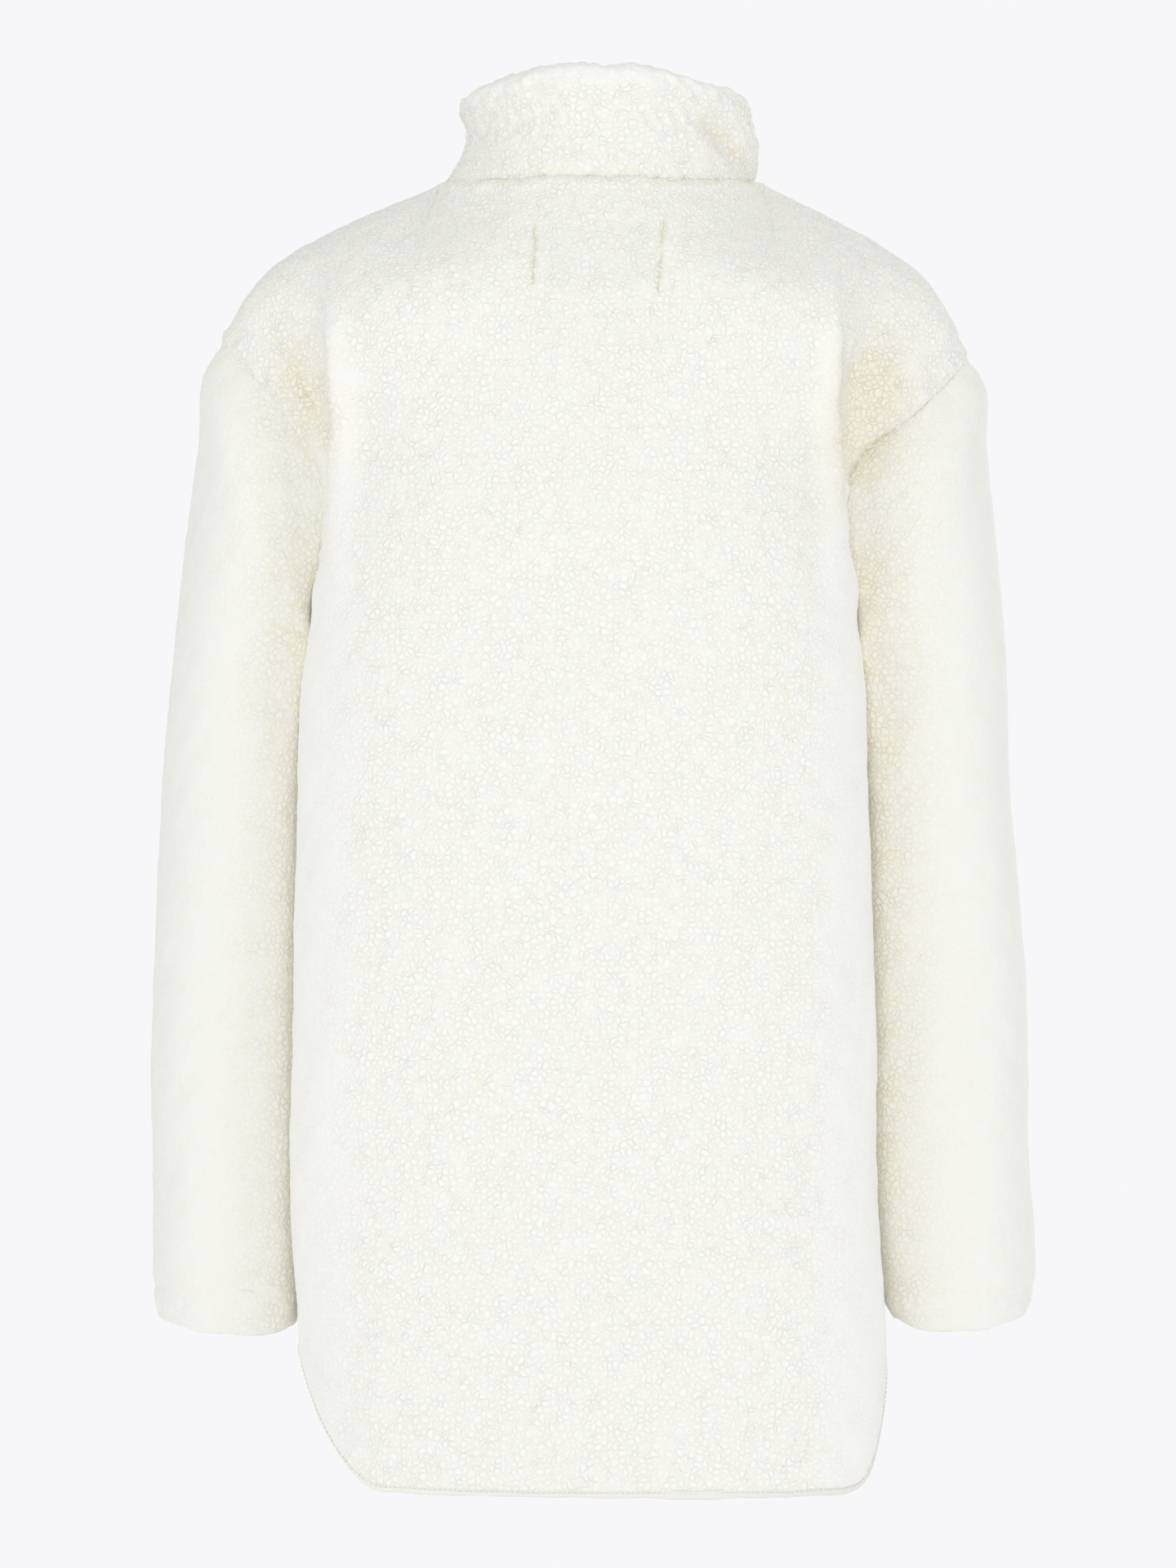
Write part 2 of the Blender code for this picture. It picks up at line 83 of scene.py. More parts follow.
# %% [markdown]
# ## The measure of the body
# Each table is a maker's list of sizes in millimetres. A body ring says how far the cloth reaches to
# the left, right, back and front at a height. The hem hangs low at the back and front and rises at
# the sides, as on a shirt.
# %% Body tables
BODY_RINGS = np.array([
    # height, left, right, back, front
    (-790, -173, 173, -122, 118),
    (-740, -176, 175, -124, 120),
    (-700, -179, 177, -125, 121),
    (-660, -181, 173, -126, 122),
    (-570, -184, 171, -128, 124),
    (-450, -181, 168, -128, 124),
    (-350, -179, 165, -127, 122),
    (-300, -176.5, 163, -126, 120),
    (-250, -169.5, 157, -124, 118),
], float)
BODY_SQUARENESS = 2.4
WIDEST_DEPTH = -42
NEST_DEPTH = 9
SIDE_SEAM_TURN = 105
UNDERARM = -250
SIDE_HEM = -705
HEM_TILT = 3
# lowest point, then where each side starts and ends its rise, and how square the right corner is
HEMS = {BACK: (-784, 42, 92, 53, 100, 1.7), FRONT: (-775, 32, 72, 32, 72, 1.0)}
# share of the armhole, height and depth of the middle, turn, and lift of the shoulder
LEVELS = {
    BACK: [(0.20, -206, -123, 90, 0), (0.42, -158, -119, 80, 0),
           (0.65, -104, -112, 68, 3), (0.85, -54, -99, 60, 6)],
    FRONT: [(0.20, -212, 117, 90, 0), (0.42, -172, 114, 80, 5),
            (0.65, -130, 106, 68, 13), (0.85, -90, 96, 60, 24)],
}
# depth and height of the neck seam's middle
NECKS = {BACK: (-75, 1), FRONT: (75, -35)}
NECK_MIDDLE = 3.0
NECK_FLARE = 8
NECK_DROP = 14
SHOULDER_ROLL = 16
SHOULDER_DROP = 2.5
# left x and z, right x and z, then how deep the armhole is at the back and front
ARMHOLES = np.array([
    (-171.0, -250, 161.0, -250, 15, 15),
    (-165.5, -227, 154.5, -224, -38, 48),
    (-163.5, -188, 152.5, -184, -44, 70),
    (-178.0, -155, 167.0, -164, -46, 76),
    (-196.0, -129, 186.0, -145, -42, 70),
    (-214.0, -108, 206.0, -126, -31, 50),
    (-224.5, -98.5, 223.0, -110.5, -17, 27),
    (-228.5, -95, 228.5, -103, 0, 0),
])
SHOULDERS = np.array([
    (-91.5, 6.5, 98.5, 6.5),
    (-133.0, -12.0, 137.0, -12.5),
    (-176.0, -32.5, 174.5, -32.5),
    (-204.0, -53.0, 201.0, -52.5),
    (-219.0, -73.5, 215.0, -72.5),
    (-228.5, -95.0, 228.5, -103.0),
])
RISES = [0, 0.08, 0.22, 0.42, 0.64, 0.82, 0.93, 0.975, 1]


# %% [markdown]
# ## Smooth curves through a few sizes
# A tailor's curve through a handful of points is a natural cubic spline: it passes through each
# point and bends as little as it can between them. Every surface below is one of these.
# %% Curves
def spline(knots, values, at):
    """A natural cubic spline through values, whose first axis runs along the knots."""
    knots, values, at = (np.asarray(part, float) for part in (knots, values, at))
    steps = np.diff(knots)
    count = len(knots)
    across = (1,) * (values.ndim - 1)
    slopes = np.diff(values, axis=0) / steps.reshape(-1, *across)
    system = np.eye(count)
    change = np.zeros_like(values)
    for k in range(1, count - 1):
        system[k, k - 1 : k + 2] = steps[k - 1], 2 * (steps[k - 1] + steps[k]), steps[k]
        change[k] = 6 * (slopes[k] - slopes[k - 1])
    bend = np.linalg.solve(system, change.reshape(count, -1)).reshape(values.shape)
    k = np.clip(np.searchsorted(knots, at, side="right") - 1, 0, count - 2)
    step = steps[k].reshape(at.shape + across)
    left = (knots[k + 1] - at).reshape(at.shape + across) / step
    right = 1 - left
    curve = (left**3 - left) * bend[k] + (right**3 - right) * bend[k + 1]
    return left * values[k] + right * values[k + 1] + curve * step**2 / 6


def chord_knots(points):
    """Knots spaced by the mean distance between one row of points and the next."""
    gaps = np.linalg.norm(np.diff(points, axis=0), axis=-1)
    return np.concatenate([[0], np.cumsum(gaps.reshape(len(gaps), -1).mean(axis=1))])


def ease(share):
    """A smooth step from 0 to 1."""
    share = np.clip(share, 0, 1)
    return share * share * (3 - 2 * share)


def power(value, squareness):
    """The superellipse's power of a sine or cosine."""
    return np.abs(value) ** (2 / squareness)


def unit(vectors):
    """The same directions with a length of 1."""
    return vectors / np.maximum(np.linalg.norm(vectors, axis=-1, keepdims=True), 1e-9)


# %% [markdown]
# ## A little unevenness
# No seam in pile is straight or even. A few slow waves added together give a smooth wander that is
# the same on each run.
# %% Waves
rng = np.random.default_rng(7)


def waves(size, count=14):
    """Directions and phases of waves about that long, in millimetres."""
    directions = unit(rng.normal(size=(count, 3)))
    return directions * (2 * np.pi / (size * rng.uniform(0.7, 1.5, (count, 1)))), rng.uniform(0, 6.3, count)


def wander(points, wave):
    """A smooth value between about -1 and 1 that drifts over the cloth."""
    directions, phases = wave
    return np.sin(points @ directions.T + phases).sum(axis=-1) / np.sqrt(len(phases))


SLOW, QUICK, TUFTS = waves(90), waves(22), waves(9)
DRIFTS = [(waves(34), waves(12)) for _ in range(3)]


def drift(points, directions):
    """A small slide along the cloth, the same for every piece, so that no seam stays straight."""
    moves = [(0.9 * wander(points, long) + 0.35 * wander(points, short)) for long, short in DRIFTS]
    slide = np.stack(moves, axis=-1) * (0.25 + 0.75 * ease((points[..., 2] + 700) / 40))[..., None]
    return slide - np.sum(slide * directions, axis=-1, keepdims=True) * directions


# %% [markdown]
# ## The two body panels
# The back and the front are cut the same way. Below the underarm a panel goes half round the body,
# and above it a panel narrows between the armholes and rolls over the shoulder to the neck.
# %% Body panels
def body_row(panel, across, rise):
    """A row of a panel below the underarm, from the hem at rise 0 to the underarm at rise 1."""
    lowest, left_starts, left_ends, right_starts, right_ends, right_power = HEMS[panel]
    turn = np.abs(across) * (SIDE_SEAM_TURN if panel == BACK else 180 - SIDE_SEAM_TURN)
    left = ease((turn - left_starts) / (left_ends - left_starts))
    right = ease((turn - right_starts) / (right_ends - right_starts))
    lift = np.where(across < 0, left, right**right_power)
    lowest = lowest - HEM_TILT * across
    hem_height = lowest + (SIDE_HEM - lowest) * lift + TAPE_HEIGHT
    height = hem_height + (UNDERARM - hem_height) * rise
    _, left, right, back, front = np.moveaxis(spline(BODY_RINGS[:, 0], BODY_RINGS, height), -1, 0)
    turn = np.radians(turn) if panel == BACK else np.pi - np.radians(turn)
    middle = (left + right) / 2
    side = np.where(across < 0, left, right)
    depth = np.where(np.cos(turn) > 0, back, front)
    x = middle + (side - middle) * power(np.sin(turn), BODY_SQUARENESS)
    y = WIDEST_DEPTH + (depth - WIDEST_DEPTH) * power(np.cos(turn), BODY_SQUARENESS)
    return np.stack([x, y, height], axis=-1)


def armhole_point(panel, side, share):
    """A point of an armhole, a share of the way from the underarm to the shoulder."""
    x, z = ARMHOLES.T[[0, 1]] if side < 0 else ARMHOLES.T[[2, 3]]
    y = ARMHOLES[:, 4] if panel == BACK else ARMHOLES[:, 5]
    points = np.stack([x, y, z], axis=-1)
    knots = chord_knots(points)
    return spline(knots, points, np.array([share * knots[-1]]))[0]


def yoke_row(panel, across, level):
    """A row of a panel between the two armholes."""
    share, height, depth, turn_degrees, lift = level
    ends = [armhole_point(panel, side, share) for side in (-1, 1)]
    end = np.where(across[:, None] < 0, ends[0], ends[1])
    turn = np.radians(np.abs(across) * turn_degrees)
    last = np.radians(turn_degrees)
    middle = NECK_MIDDLE * share + (1 - share) * sum(e[0] for e in ends) / 2
    out = power(np.sin(turn) / np.sin(last), BODY_SQUARENESS)
    bend = 1 - power(np.cos(turn), BODY_SQUARENESS)
    bend /= 1 - power(np.cos(last), BODY_SQUARENESS)
    x = middle + (end[:, 0] - middle) * out
    y = depth + (end[:, 1] - depth) * bend
    z = height + (end[:, 2] - height) * across**2
    z += lift * np.sin(np.pi * np.abs(across) ** 0.75) ** 2
    return np.stack([x, y, z], axis=-1)


def top_row(panel, across):
    """The shoulder seams and, between them, the neck seam."""
    neck_share = NECK_COLUMNS / PANEL_COLUMNS
    depth, height = NECKS[panel]
    points = np.zeros((len(across), 3))
    for index, column in enumerate(across):
        sides = SHOULDERS[:, :2] if column < 0 else SHOULDERS[:, 2:]
        out = (abs(column) - neck_share) / (1 - neck_share)
        if out >= 0:
            knots = chord_knots(sides)
            points[index, [0, 2]] = spline(knots, sides, np.array([out * knots[-1]]))[0]
            continue
        turn = np.pi / 2 * abs(column) / neck_share
        points[index] = (
            NECK_MIDDLE + (sides[0, 0] - NECK_MIDDLE) * np.sin(turn),
            depth * np.cos(turn),
            height + (sides[0, 1] - height) * np.sin(turn) ** 4,
        )
    return points


def roll_row(panel, across, top):
    """The row just under the top one, which rounds the shoulder and starts the neck."""
    neck_share = NECK_COLUMNS / PANEL_COLUMNS
    shoulder = ease((np.abs(across) / neck_share - 0.7) / 0.9)[:, None]
    turn = np.pi / 2 * np.clip(across / neck_share, -1, 1)
    settled = 1 - 0.6 * np.sin(turn) ** 6
    spread = NECK_FLARE * settled
    at_neck = np.stack([spread * np.sin(turn), panel * spread * np.cos(turn), -NECK_DROP * settled], axis=-1)
    at_shoulder = np.array([0, panel * SHOULDER_ROLL, -SHOULDER_DROP])
    fade = ease((1 - np.abs(across)) / 0.12)[:, None]
    return top + at_neck * (1 - shoulder) + at_shoulder * shoulder * (0.35 + 0.65 * fade)


def panel_grid(panel):
    """A body panel's points, from the hem up to the shoulders and the neck."""
    across = np.linspace(-1, 1, PANEL_COLUMNS + 1)
    rows = [body_row(panel, across, rise) for rise in RISES]
    for side, column in ((-1, 0), (1, -1)):
        pull = armhole_point(panel, side, 0) - rows[-1][column]
        near = np.where(across * side > 0, np.abs(across) ** 7, 0)
        rows[-1] = rows[-1] + near[:, None] * pull
    under = len(rows) - 1
    rows += [yoke_row(panel, across, level) for level in LEVELS[panel]]
    top = top_row(panel, across)
    rows += [roll_row(panel, across, top), top]
    knots = chord_knots(np.array(rows))
    lower = np.linspace(0, knots[under], BODY_ROWS, endpoint=False)
    upper = np.linspace(knots[under], knots[-1], YOKE_ROWS + 1)
    return spline(knots, np.array(rows), np.concatenate([lower, upper]))


back = panel_grid(BACK)
front = panel_grid(FRONT)
front[: BODY_ROWS + 1, [0, -1]] = back[: BODY_ROWS + 1, [0, -1]]
print("each body panel has", back.shape[0], "rows of", back.shape[1], "points")

# %% [markdown]
# ## The sleeves and cuffs
# A sleeve is a tube of slanted rings. It starts on the armhole's own points, swells a little over the
# shoulder, and ends in a short cuff. Its side towards the body
# lies a little to the front, behind the body's edge.
# %% Sleeve tables
# outer x and z, inner x and z, the depth of the middle, how far back and front it reaches, and how
# much farther to the front the inner side lies, behind the body's edge
LEFT_SLEEVE = np.array([
    (-242.0, -150, -168.0, -266, 14, 69, 2),
    (-247.5, -190, -165.5, -281, 15, 67, 2),
    (-253.5, -238, -168.0, -304, 17, 65, 4),
    (-260.0, -300, -170.0, -342, 19, 62, 8),
    (-266.5, -372, -172.0, -395, 21, 60, 10),
    (-271.0, -455, -172.5, -466, 22, 58, 10),
    (-273.0, -540, -174.0, -545, 22, 57, 10),
    (-271.5, -610, -175.0, -612, 21, 56, 10),
    (-270.5, -670, -179.0, -670, 21, 56, 6),
    (-268.0, -690, -182.5, -693, 21, 55, 3),
])
RIGHT_SLEEVE = np.array([
    (241.0, -155, 155.5, -268, 14, 69, 2),
    (245.0, -194, 153.0, -284, 15, 67, 2),
    (249.5, -240, 154.5, -307, 17, 65, 4),
    (253.5, -300, 156.5, -344, 19, 62, 8),
    (257.0, -372, 158.5, -396, 21, 60, 10),
    (263.5, -455, 159.5, -466, 22, 58, 10),
    (267.5, -540, 161.0, -545, 22, 57, 10),
    (268.5, -610, 164.5, -612, 21, 56, 10),
    (270.0, -670, 174.0, -670, 21, 56, 6),
    (265.0, -689, 183.0, -690, 21, 54, 3),
])
SLEEVE_SQUARENESS = 2.2
INNER_SQUARENESS = 6.0
HEAD_SHARE = 0.13
HEAD_PUFF = 4.0
CUFF_SAG = 6.0
HEAD_CROWDING = 1.35


# %% Sleeves
def sleeve_ring(ring, turns):
    """A tilted ring of a sleeve. Turn 0 is its inner point, and a quarter turn its back."""
    outer_x, outer_z, inner_x, inner_z, middle, depth, tuck = ring
    outer = np.array([outer_x, middle, outer_z])
    inner = np.array([inner_x, middle, inner_z])
    towards_body = (np.cos(turns) > 0) & (np.sin(turns) > 0)
    squareness = np.where(towards_body, INNER_SQUARENESS, SLEEVE_SQUARENESS)
    reach = -np.sign(np.cos(turns)) * power(np.cos(turns), squareness)
    points = (outer + inner) / 2 + (outer - inner) / 2 * reach[:, None]
    points[:, 1] -= np.sign(np.sin(turns)) * power(np.sin(turns), squareness) * depth
    points[:, 1] += tuck * np.clip(np.cos(turns), 0, 1) ** 2
    return points


def sleeve_grid(side, rings):
    """A sleeve's points, from the armhole down to the cuff, and the cuff's own."""
    column = 0 if side < 0 else -1
    armhole = np.concatenate([back[BODY_ROWS:, column], front[-2:BODY_ROWS:-1, column]])
    turns = np.linspace(0, 2 * np.pi, len(armhole), endpoint=False)
    lower = [sleeve_ring(ring, turns) for ring in rings]
    lower[-1][:, 2] -= CUFF_SAG * np.clip(np.sin(turns), 0, 1) ** 4
    head = armhole + (lower[0] - armhole) * HEAD_SHARE
    head[:, 0] += side * HEAD_PUFF * ease(0.8 - np.cos(turns))
    rows = np.array([armhole, head] + lower)
    knots = chord_knots(rows)
    shares = np.linspace(0, 1, SLEEVE_ROWS + 1) ** HEAD_CROWDING
    sleeve = spline(knots, rows, knots[-2] * shares)
    cuff = spline(knots, rows, np.linspace(knots[-2], knots[-1], CUFF_ROWS + 1))
    return sleeve, cuff


left_sleeve, left_cuff = sleeve_grid(-1, LEFT_SLEEVE)
right_sleeve, right_cuff = sleeve_grid(1, RIGHT_SLEEVE)
print("each sleeve has", left_sleeve.shape[0], "rings of", left_sleeve.shape[1], "points")

# %% [markdown]
# ## The collar and the tape round the hem
# The collar stands on the neck seam and leans in a little. It is two layers of pile, rolled over at
# the top. The tape is a narrow band that folds round the raw edge of the hem.
# %% Collar and tape
# left, right, back and front reach, then the height at the back, sides and front
COLLAR_RINGS = [
    (-85, 99.0, -74, 73, 14, 15, -22),
    (-81, 100.5, -73, 71, 28, 27, -8),
    (-80, 98.5, -75, 71, 43, 40, 6),
    (-80, 93.0, -80, 73, 56, 51, 18),
    (-77, 84.0, -81, 72, 67, 59, 26),
]


def collar_grid():
    """The collar's points, from the neck seam up to its rim."""
    first = (PANEL_COLUMNS - NECK_COLUMNS) // 2
    neck = slice(first, first + NECK_COLUMNS + 1)
    rows = [np.concatenate([back[-1, neck], front[-1, neck][-2:0:-1]])]
    turns = np.linspace(-np.pi / 2, 1.5 * np.pi, 2 * NECK_COLUMNS, endpoint=False)
    for left, right, back_y, front_y, back_z, side_z, front_z in COLLAR_RINGS:
        behind = np.cos(turns) > 0
        reach = np.where(np.sin(turns) < 0, left, right) - NECK_MIDDLE
        tilt = np.where(behind, back_z, front_z) - side_z
        x = NECK_MIDDLE + reach * np.abs(np.sin(turns))
        y = np.where(behind, back_y, -front_y) * np.cos(turns)
        rows.append(np.stack([x, y, side_z + tilt * np.cos(turns) ** 2], axis=-1))
    knots = chord_knots(np.array(rows))
    return spline(knots, np.array(rows), np.linspace(0, knots[-1], COLLAR_ROWS + 1))


def tape_grid():
    """The tape under the hem of both panels, from its lower edge up to the panels."""
    top = np.concatenate([back[0], front[0, -2:0:-1]])
    drops = np.linspace(TAPE_HEIGHT, 0, TAPE_ROWS + 1)
    return np.stack([top - np.array([0, 0, drop]) for drop in drops])


collar = collar_grid()
tape = tape_grid()
print("the collar has", collar.shape[1], "columns and the tape", tape.shape[1])

# %% [markdown]
# ## One direction for both sides of a seam
# Each wall goes inward along its normals. Where two pieces are sewn together, both have to use the
# same direction, or their edges would cross. So the points that meet are found, and each group of
# pieces counts the same in the direction that they share.
# %% Shared directions
# group, points, whether the rows close into rings, and whether its faces are turned round
GRIDS = {
    "back": ("body", back, False, False),
    "front": ("body", front, False, True),
    "sleeve_left": ("left", left_sleeve, True, False),
    "sleeve_right": ("right", right_sleeve, True, True),
    "cuff_left": ("left", left_cuff, True, False),
    "cuff_right": ("right", right_cuff, True, True),
    "collar": ("collar", collar, True, False),
    "hem_binding": ("tape", tape, True, False),
}


def face_normals(points, closed, turned):
    """The unit normal of each face of a grid, pointing out of the garment."""
    if closed:
        points = np.concatenate([points, points[:, :1]], axis=1)
    first = points[1:, 1:] - points[:-1, :-1]
    vectors = unit(np.cross(first, points[1:, :-1] - points[:-1, 1:]))
    return -vectors if turned else vectors


def shared_normals():
    """Unit normals for each grid, the same on both sides of each seam."""
    every = np.concatenate([points.reshape(-1, 3) for _, points, _, _ in GRIDS.values()])
    _, place = np.unique(np.round(every, 3), axis=0, return_inverse=True)
    place = place.reshape(-1)
    sums = {group: np.zeros((place.max() + 1, 3)) for group, _, _, _ in GRIDS.values()}
    indices = {}
    start = 0
    for name, (group, points, closed, turned) in GRIDS.items():
        rows, columns = points.shape[:2]
        index = place[start : start + rows * columns].reshape(rows, columns)
        indices[name] = index
        start += rows * columns
        if closed:
            index = np.concatenate([index, index[:, :1]], axis=1)
        vectors = face_normals(points, closed, turned)
        for corner in (index[:-1, :-1], index[1:, :-1], index[:-1, 1:], index[1:, 1:]):
            for axis in range(3):
                added = np.bincount(corner.ravel(), vectors[..., axis].ravel(), place.max() + 1)
                sums[group][:, axis] += added
    total = unit(sum(unit(part) for part in sums.values()))
    return {name: total[index] for name, index in indices.items()}


normals = shared_normals()
print("directions found for", sum(n.shape[0] * n.shape[1] for n in normals.values()), "points")

# %% [markdown]
# ## Soft folds
# The cloth is thick and light, so it has few folds, and all of them are soft troughs: beside the
# rolled edge of each armhole, at the elbows and in the right end of the collar. Each is a curve
# across the back or the front with a width and a depth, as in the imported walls.
# %% Folds
# face, three points of the curve, half-width and depth
FOLDS = [
    (BACK, -166, -40, -177, -95, -170, -150, 13, -6),
    (BACK, 165, -45, 173, -105, 158, -160, 13, -6),
    (BACK, 70, 44, 86, 30, 97, 10, 9, -5),
    (BACK, -212, -285, -196, -296, -184, -335, 12, -5),
    (BACK, 200, -285, 182, -305, 172, -350, 12, -5),
    (BACK, -264, -462, -242, -478, -220, -505, 15, -3),
    (BACK, 258, -512, 236, -528, 212, -548, 15, -3),
    (FRONT, -168, -60, -178, -110, -170, -165, 14, -6),
    (FRONT, 166, -62, 174, -118, 160, -170, 14, -6),
    (FRONT, -262, -430, -236, -446, -205, -440, 14, -5),
    (FRONT, 258, -440, 232, -458, 196, -450, 14, -5),
    (FRONT, -264, -480, -238, -492, -210, -486, 13, -4),
    (FRONT, 262, -490, 236, -502, 200, -496, 13, -4),
]
# the sharper creases, and the rolls beside them
CREASES = [
    (BACK, -187, -94, -172, -126, -160, -166, 13, -7),
    (BACK, -160, -72, -137, -140, -157, -240, 8, 4.5),
    (BACK, 174, -98, 162, -136, 150, -182, 19, -11),
    (BACK, 140, -66, 134, -150, 147, -240, 8, 4.5),
    (BACK, 62, 42, 82, 27, 97, 0, 6, -4),
    (BACK, 78, 50, 99, 32, 104, 8, 8, 3),
    (FRONT, -190, -82, -178, -112, -166, -160, 10, -5),
    (FRONT, 188, -88, 174, -118, 160, -166, 10, -5),
]
# how far each rolled edge leans over the valley beside it, where the depth is the lean along X
LEANS = [
    (BACK, -160, -66, -137, -140, -157, -250, 8, -8),
    (BACK, 140, -60, 134, -150, 147, -250, 8, 8),
]


def nest(points):
    """How far the body's side gives way to the sleeve that hangs beside it."""
    deep = ease((points[..., 1] + 46) / 20) * ease((95 - points[..., 1]) / 45)
    low = ease((-254 - points[..., 2]) / 30) * ease((points[..., 2] + 690) / 50)
    return -NEST_DEPTH * np.sign(points[..., 0]) * deep * low


def fold_depth(points, directions, folds):
    """How far the folds move each point of the cloth along its direction."""
    moved = np.zeros(points.shape[:-1])
    along = np.linspace(0, 1, 49)
    for face, x0, z0, x1, z1, x2, z2, width, depth in folds:
        start, middle, end = (1 - along) ** 2, 2 * along * (1 - along), along**2
        line_x = start * x0 + middle * x1 + end * x2
        line_z = start * z0 + middle * z1 + end * z2
        close = (points[..., 0] > line_x.min() - 3 * width) & (points[..., 0] < line_x.max() + 3 * width)
        close &= (points[..., 2] > line_z.min() - 3 * width) & (points[..., 2] < line_z.max() + 3 * width)
        if not close.any():
            continue
        near = points[close]
        far = np.hypot(near[:, 0, None] - line_x, near[:, 2, None] - line_z)
        place = along[far.argmin(axis=1)]
        facing = np.clip(face * directions[close][:, 1] * 3, 0, 1)
        taper = np.sin(np.pi * np.clip(place, 0.04, 0.96)) ** 0.7
        moved[close] += depth * np.exp(-((far.min(axis=1) / width) ** 2)) * taper * facing
    return moved


skins = {}
for name, (group, points, closed, turned) in GRIDS.items():
    depth = fold_depth(points, normals[name], FOLDS + CREASES)
    skins[name] = points + depth[..., None] * normals[name] + drift(points, normals[name])
    skins[name][..., 0] += fold_depth(points, normals[name], LEANS)
    if name in ("back", "front"):
        skins[name][..., 0] += nest(points)
print("folds laid:", len(FOLDS), "and creases:", len(CREASES))

# %% [markdown]
# ## Seam lines
# Sewing pulls thick pile down into a groove, and the cloth beside it rolls up into a soft rim. The
# seam lines are gathered here, and a search tree then says how far any point is from each.
# %% Seam lines
LABEL_STITCHES = [((-34.5, -15.4), (-36.9, -67.8)), ((40.9, -26.8), (37.5, -71.2))]


def finer(line, closed=False, steps=4):
    """The same line with more points, evenly set between its own."""
    if closed:
        line = np.concatenate([line, line[:1]])
    at = np.linspace(0, len(line) - 1, steps * (len(line) - 1) + 1)
    return np.stack([np.interp(at, np.arange(len(line)), line[:, k]) for k in range(3)], axis=-1)


neck_first = (PANEL_COLUMNS - NECK_COLUMNS) // 2
SEAMS = {
    "armhole": [finer(skins["sleeve_left"][0], True), finer(skins["sleeve_right"][0], True)],
    "neck": [finer(skins["collar"][0], True)],
    "shoulder": [finer(skins["back"][-1, : neck_first + 1]), finer(skins["back"][-1, -neck_first - 1 :])],
    "side": [finer(skins["back"][: BODY_ROWS + 1, 0]), finer(skins["back"][: BODY_ROWS + 1, -1])],
    "cuff": [finer(skins["cuff_left"][0], True), finer(skins["cuff_right"][0], True)],
    "hem": [finer(skins["hem_binding"][-1], True)],
    "brim": [finer(skins["collar"][-1], True)],
}


def tree_of(lines):
    """A search tree of every point of some lines."""
    points = np.concatenate(lines)
    tree = kdtree.KDTree(len(points))
    for index, point in enumerate(points):
        tree.insert(point, index)
    tree.balance()
    return tree


def reach(tree, points):
    """How far each point is from the tree's lines."""
    flat = points.reshape(-1, 3).tolist()
    return np.array([tree.find(point)[2] for point in flat]).reshape(points.shape[:-1])


seam_trees = {name: tree_of(lines) for name, lines in SEAMS.items()}
print("seams:", ", ".join(SEAMS))

# %% [markdown]
# ## Grooves and rims
# The grooves grow deeper and shallower along their way, and so do the rims beside them.
# %% Relief
def groove(far, width, depth):
    return -depth * np.exp(-((far / width) ** 2))


def rim(far, place, width, height):
    return height * np.exp(-(((far - place) / width) ** 2))


# piece, seam, groove width and depth, then the rim's place, width and height
SEAM_RELIEF = [
    ("back", "armhole", 1.6, 0.1, 6.5, 4.6, 1.8),
    ("front", "armhole", 1.6, 0.1, 6.5, 4.6, 1.8),
    ("back", "neck", 2.4, 0.9, 5.2, 2.6, 1.7),
    ("front", "neck", 2.2, 0.9, 4.6, 2.4, 1.9),
    ("back", "shoulder", 2.0, 0.6, 6.0, 4.0, 0.4),
    ("front", "shoulder", 2.0, 0.6, 6.0, 4.0, 0.4),
    ("back", "side", 2.0, 0.6, 6.0, 4.0, 0.5),
    ("front", "side", 2.0, 0.6, 6.0, 4.0, 0.5),
    ("back", "hem", 1.6, 0.2, 6.0, 4.0, 0.2),
    ("front", "hem", 1.6, 0.2, 6.0, 4.0, 0.2),
    ("sleeve_left", "armhole", 3.0, 0.05, 5.0, 6.0, 0.5),
    ("sleeve_right", "armhole", 3.0, 0.05, 5.0, 6.0, 0.5),
    ("sleeve_left", "cuff", 2.4, 0.3, 7.0, 4.0, 0.4),
    ("sleeve_right", "cuff", 2.4, 0.3, 7.0, 4.0, 0.4),
    ("cuff_left", "cuff", 2.4, 0.3, 9.0, 6.0, 0.9),
    ("cuff_right", "cuff", 2.4, 0.3, 9.0, 6.0, 0.9),
    ("collar", "neck", 2.4, 0.8, 9.0, 4.0, 0.5),
    ("collar", "brim", 1.0, 0.0, 9.0, 8.0, 2.6),
    ("collar", "brim", 1.0, 0.0, 27.0, 9.0, -2.4),
]


def label_distance(points):
    """How far a point is from the two short rows of stitches, seen from behind."""
    nearest = np.full(points.shape[:-1], 99.0)
    for (x0, z0), (x1, z1) in LABEL_STITCHES:
        run = np.array([x1 - x0, z1 - z0])
        from_start = points[..., [0, 2]] - np.array([x0, z0])
        share = np.clip(from_start @ run / (run @ run), 0, 1)
        nearest = np.minimum(nearest, np.linalg.norm(from_start - share[..., None] * run, axis=-1))
    return nearest


def shade_towards_body(name, points):
    """How much warm shade is painted on a sleeve's side that faces the body."""
    if not name.startswith(("sleeve", "cuff")):
        return np.zeros(points.shape[:-1])
    inner, most = (178, 0.5) if name.endswith("left") else (168, 0.75)
    near = ease((inner + 36 - np.abs(points[..., 0])) / 40)
    return most * near * ease((-180 - points[..., 2]) / 60)


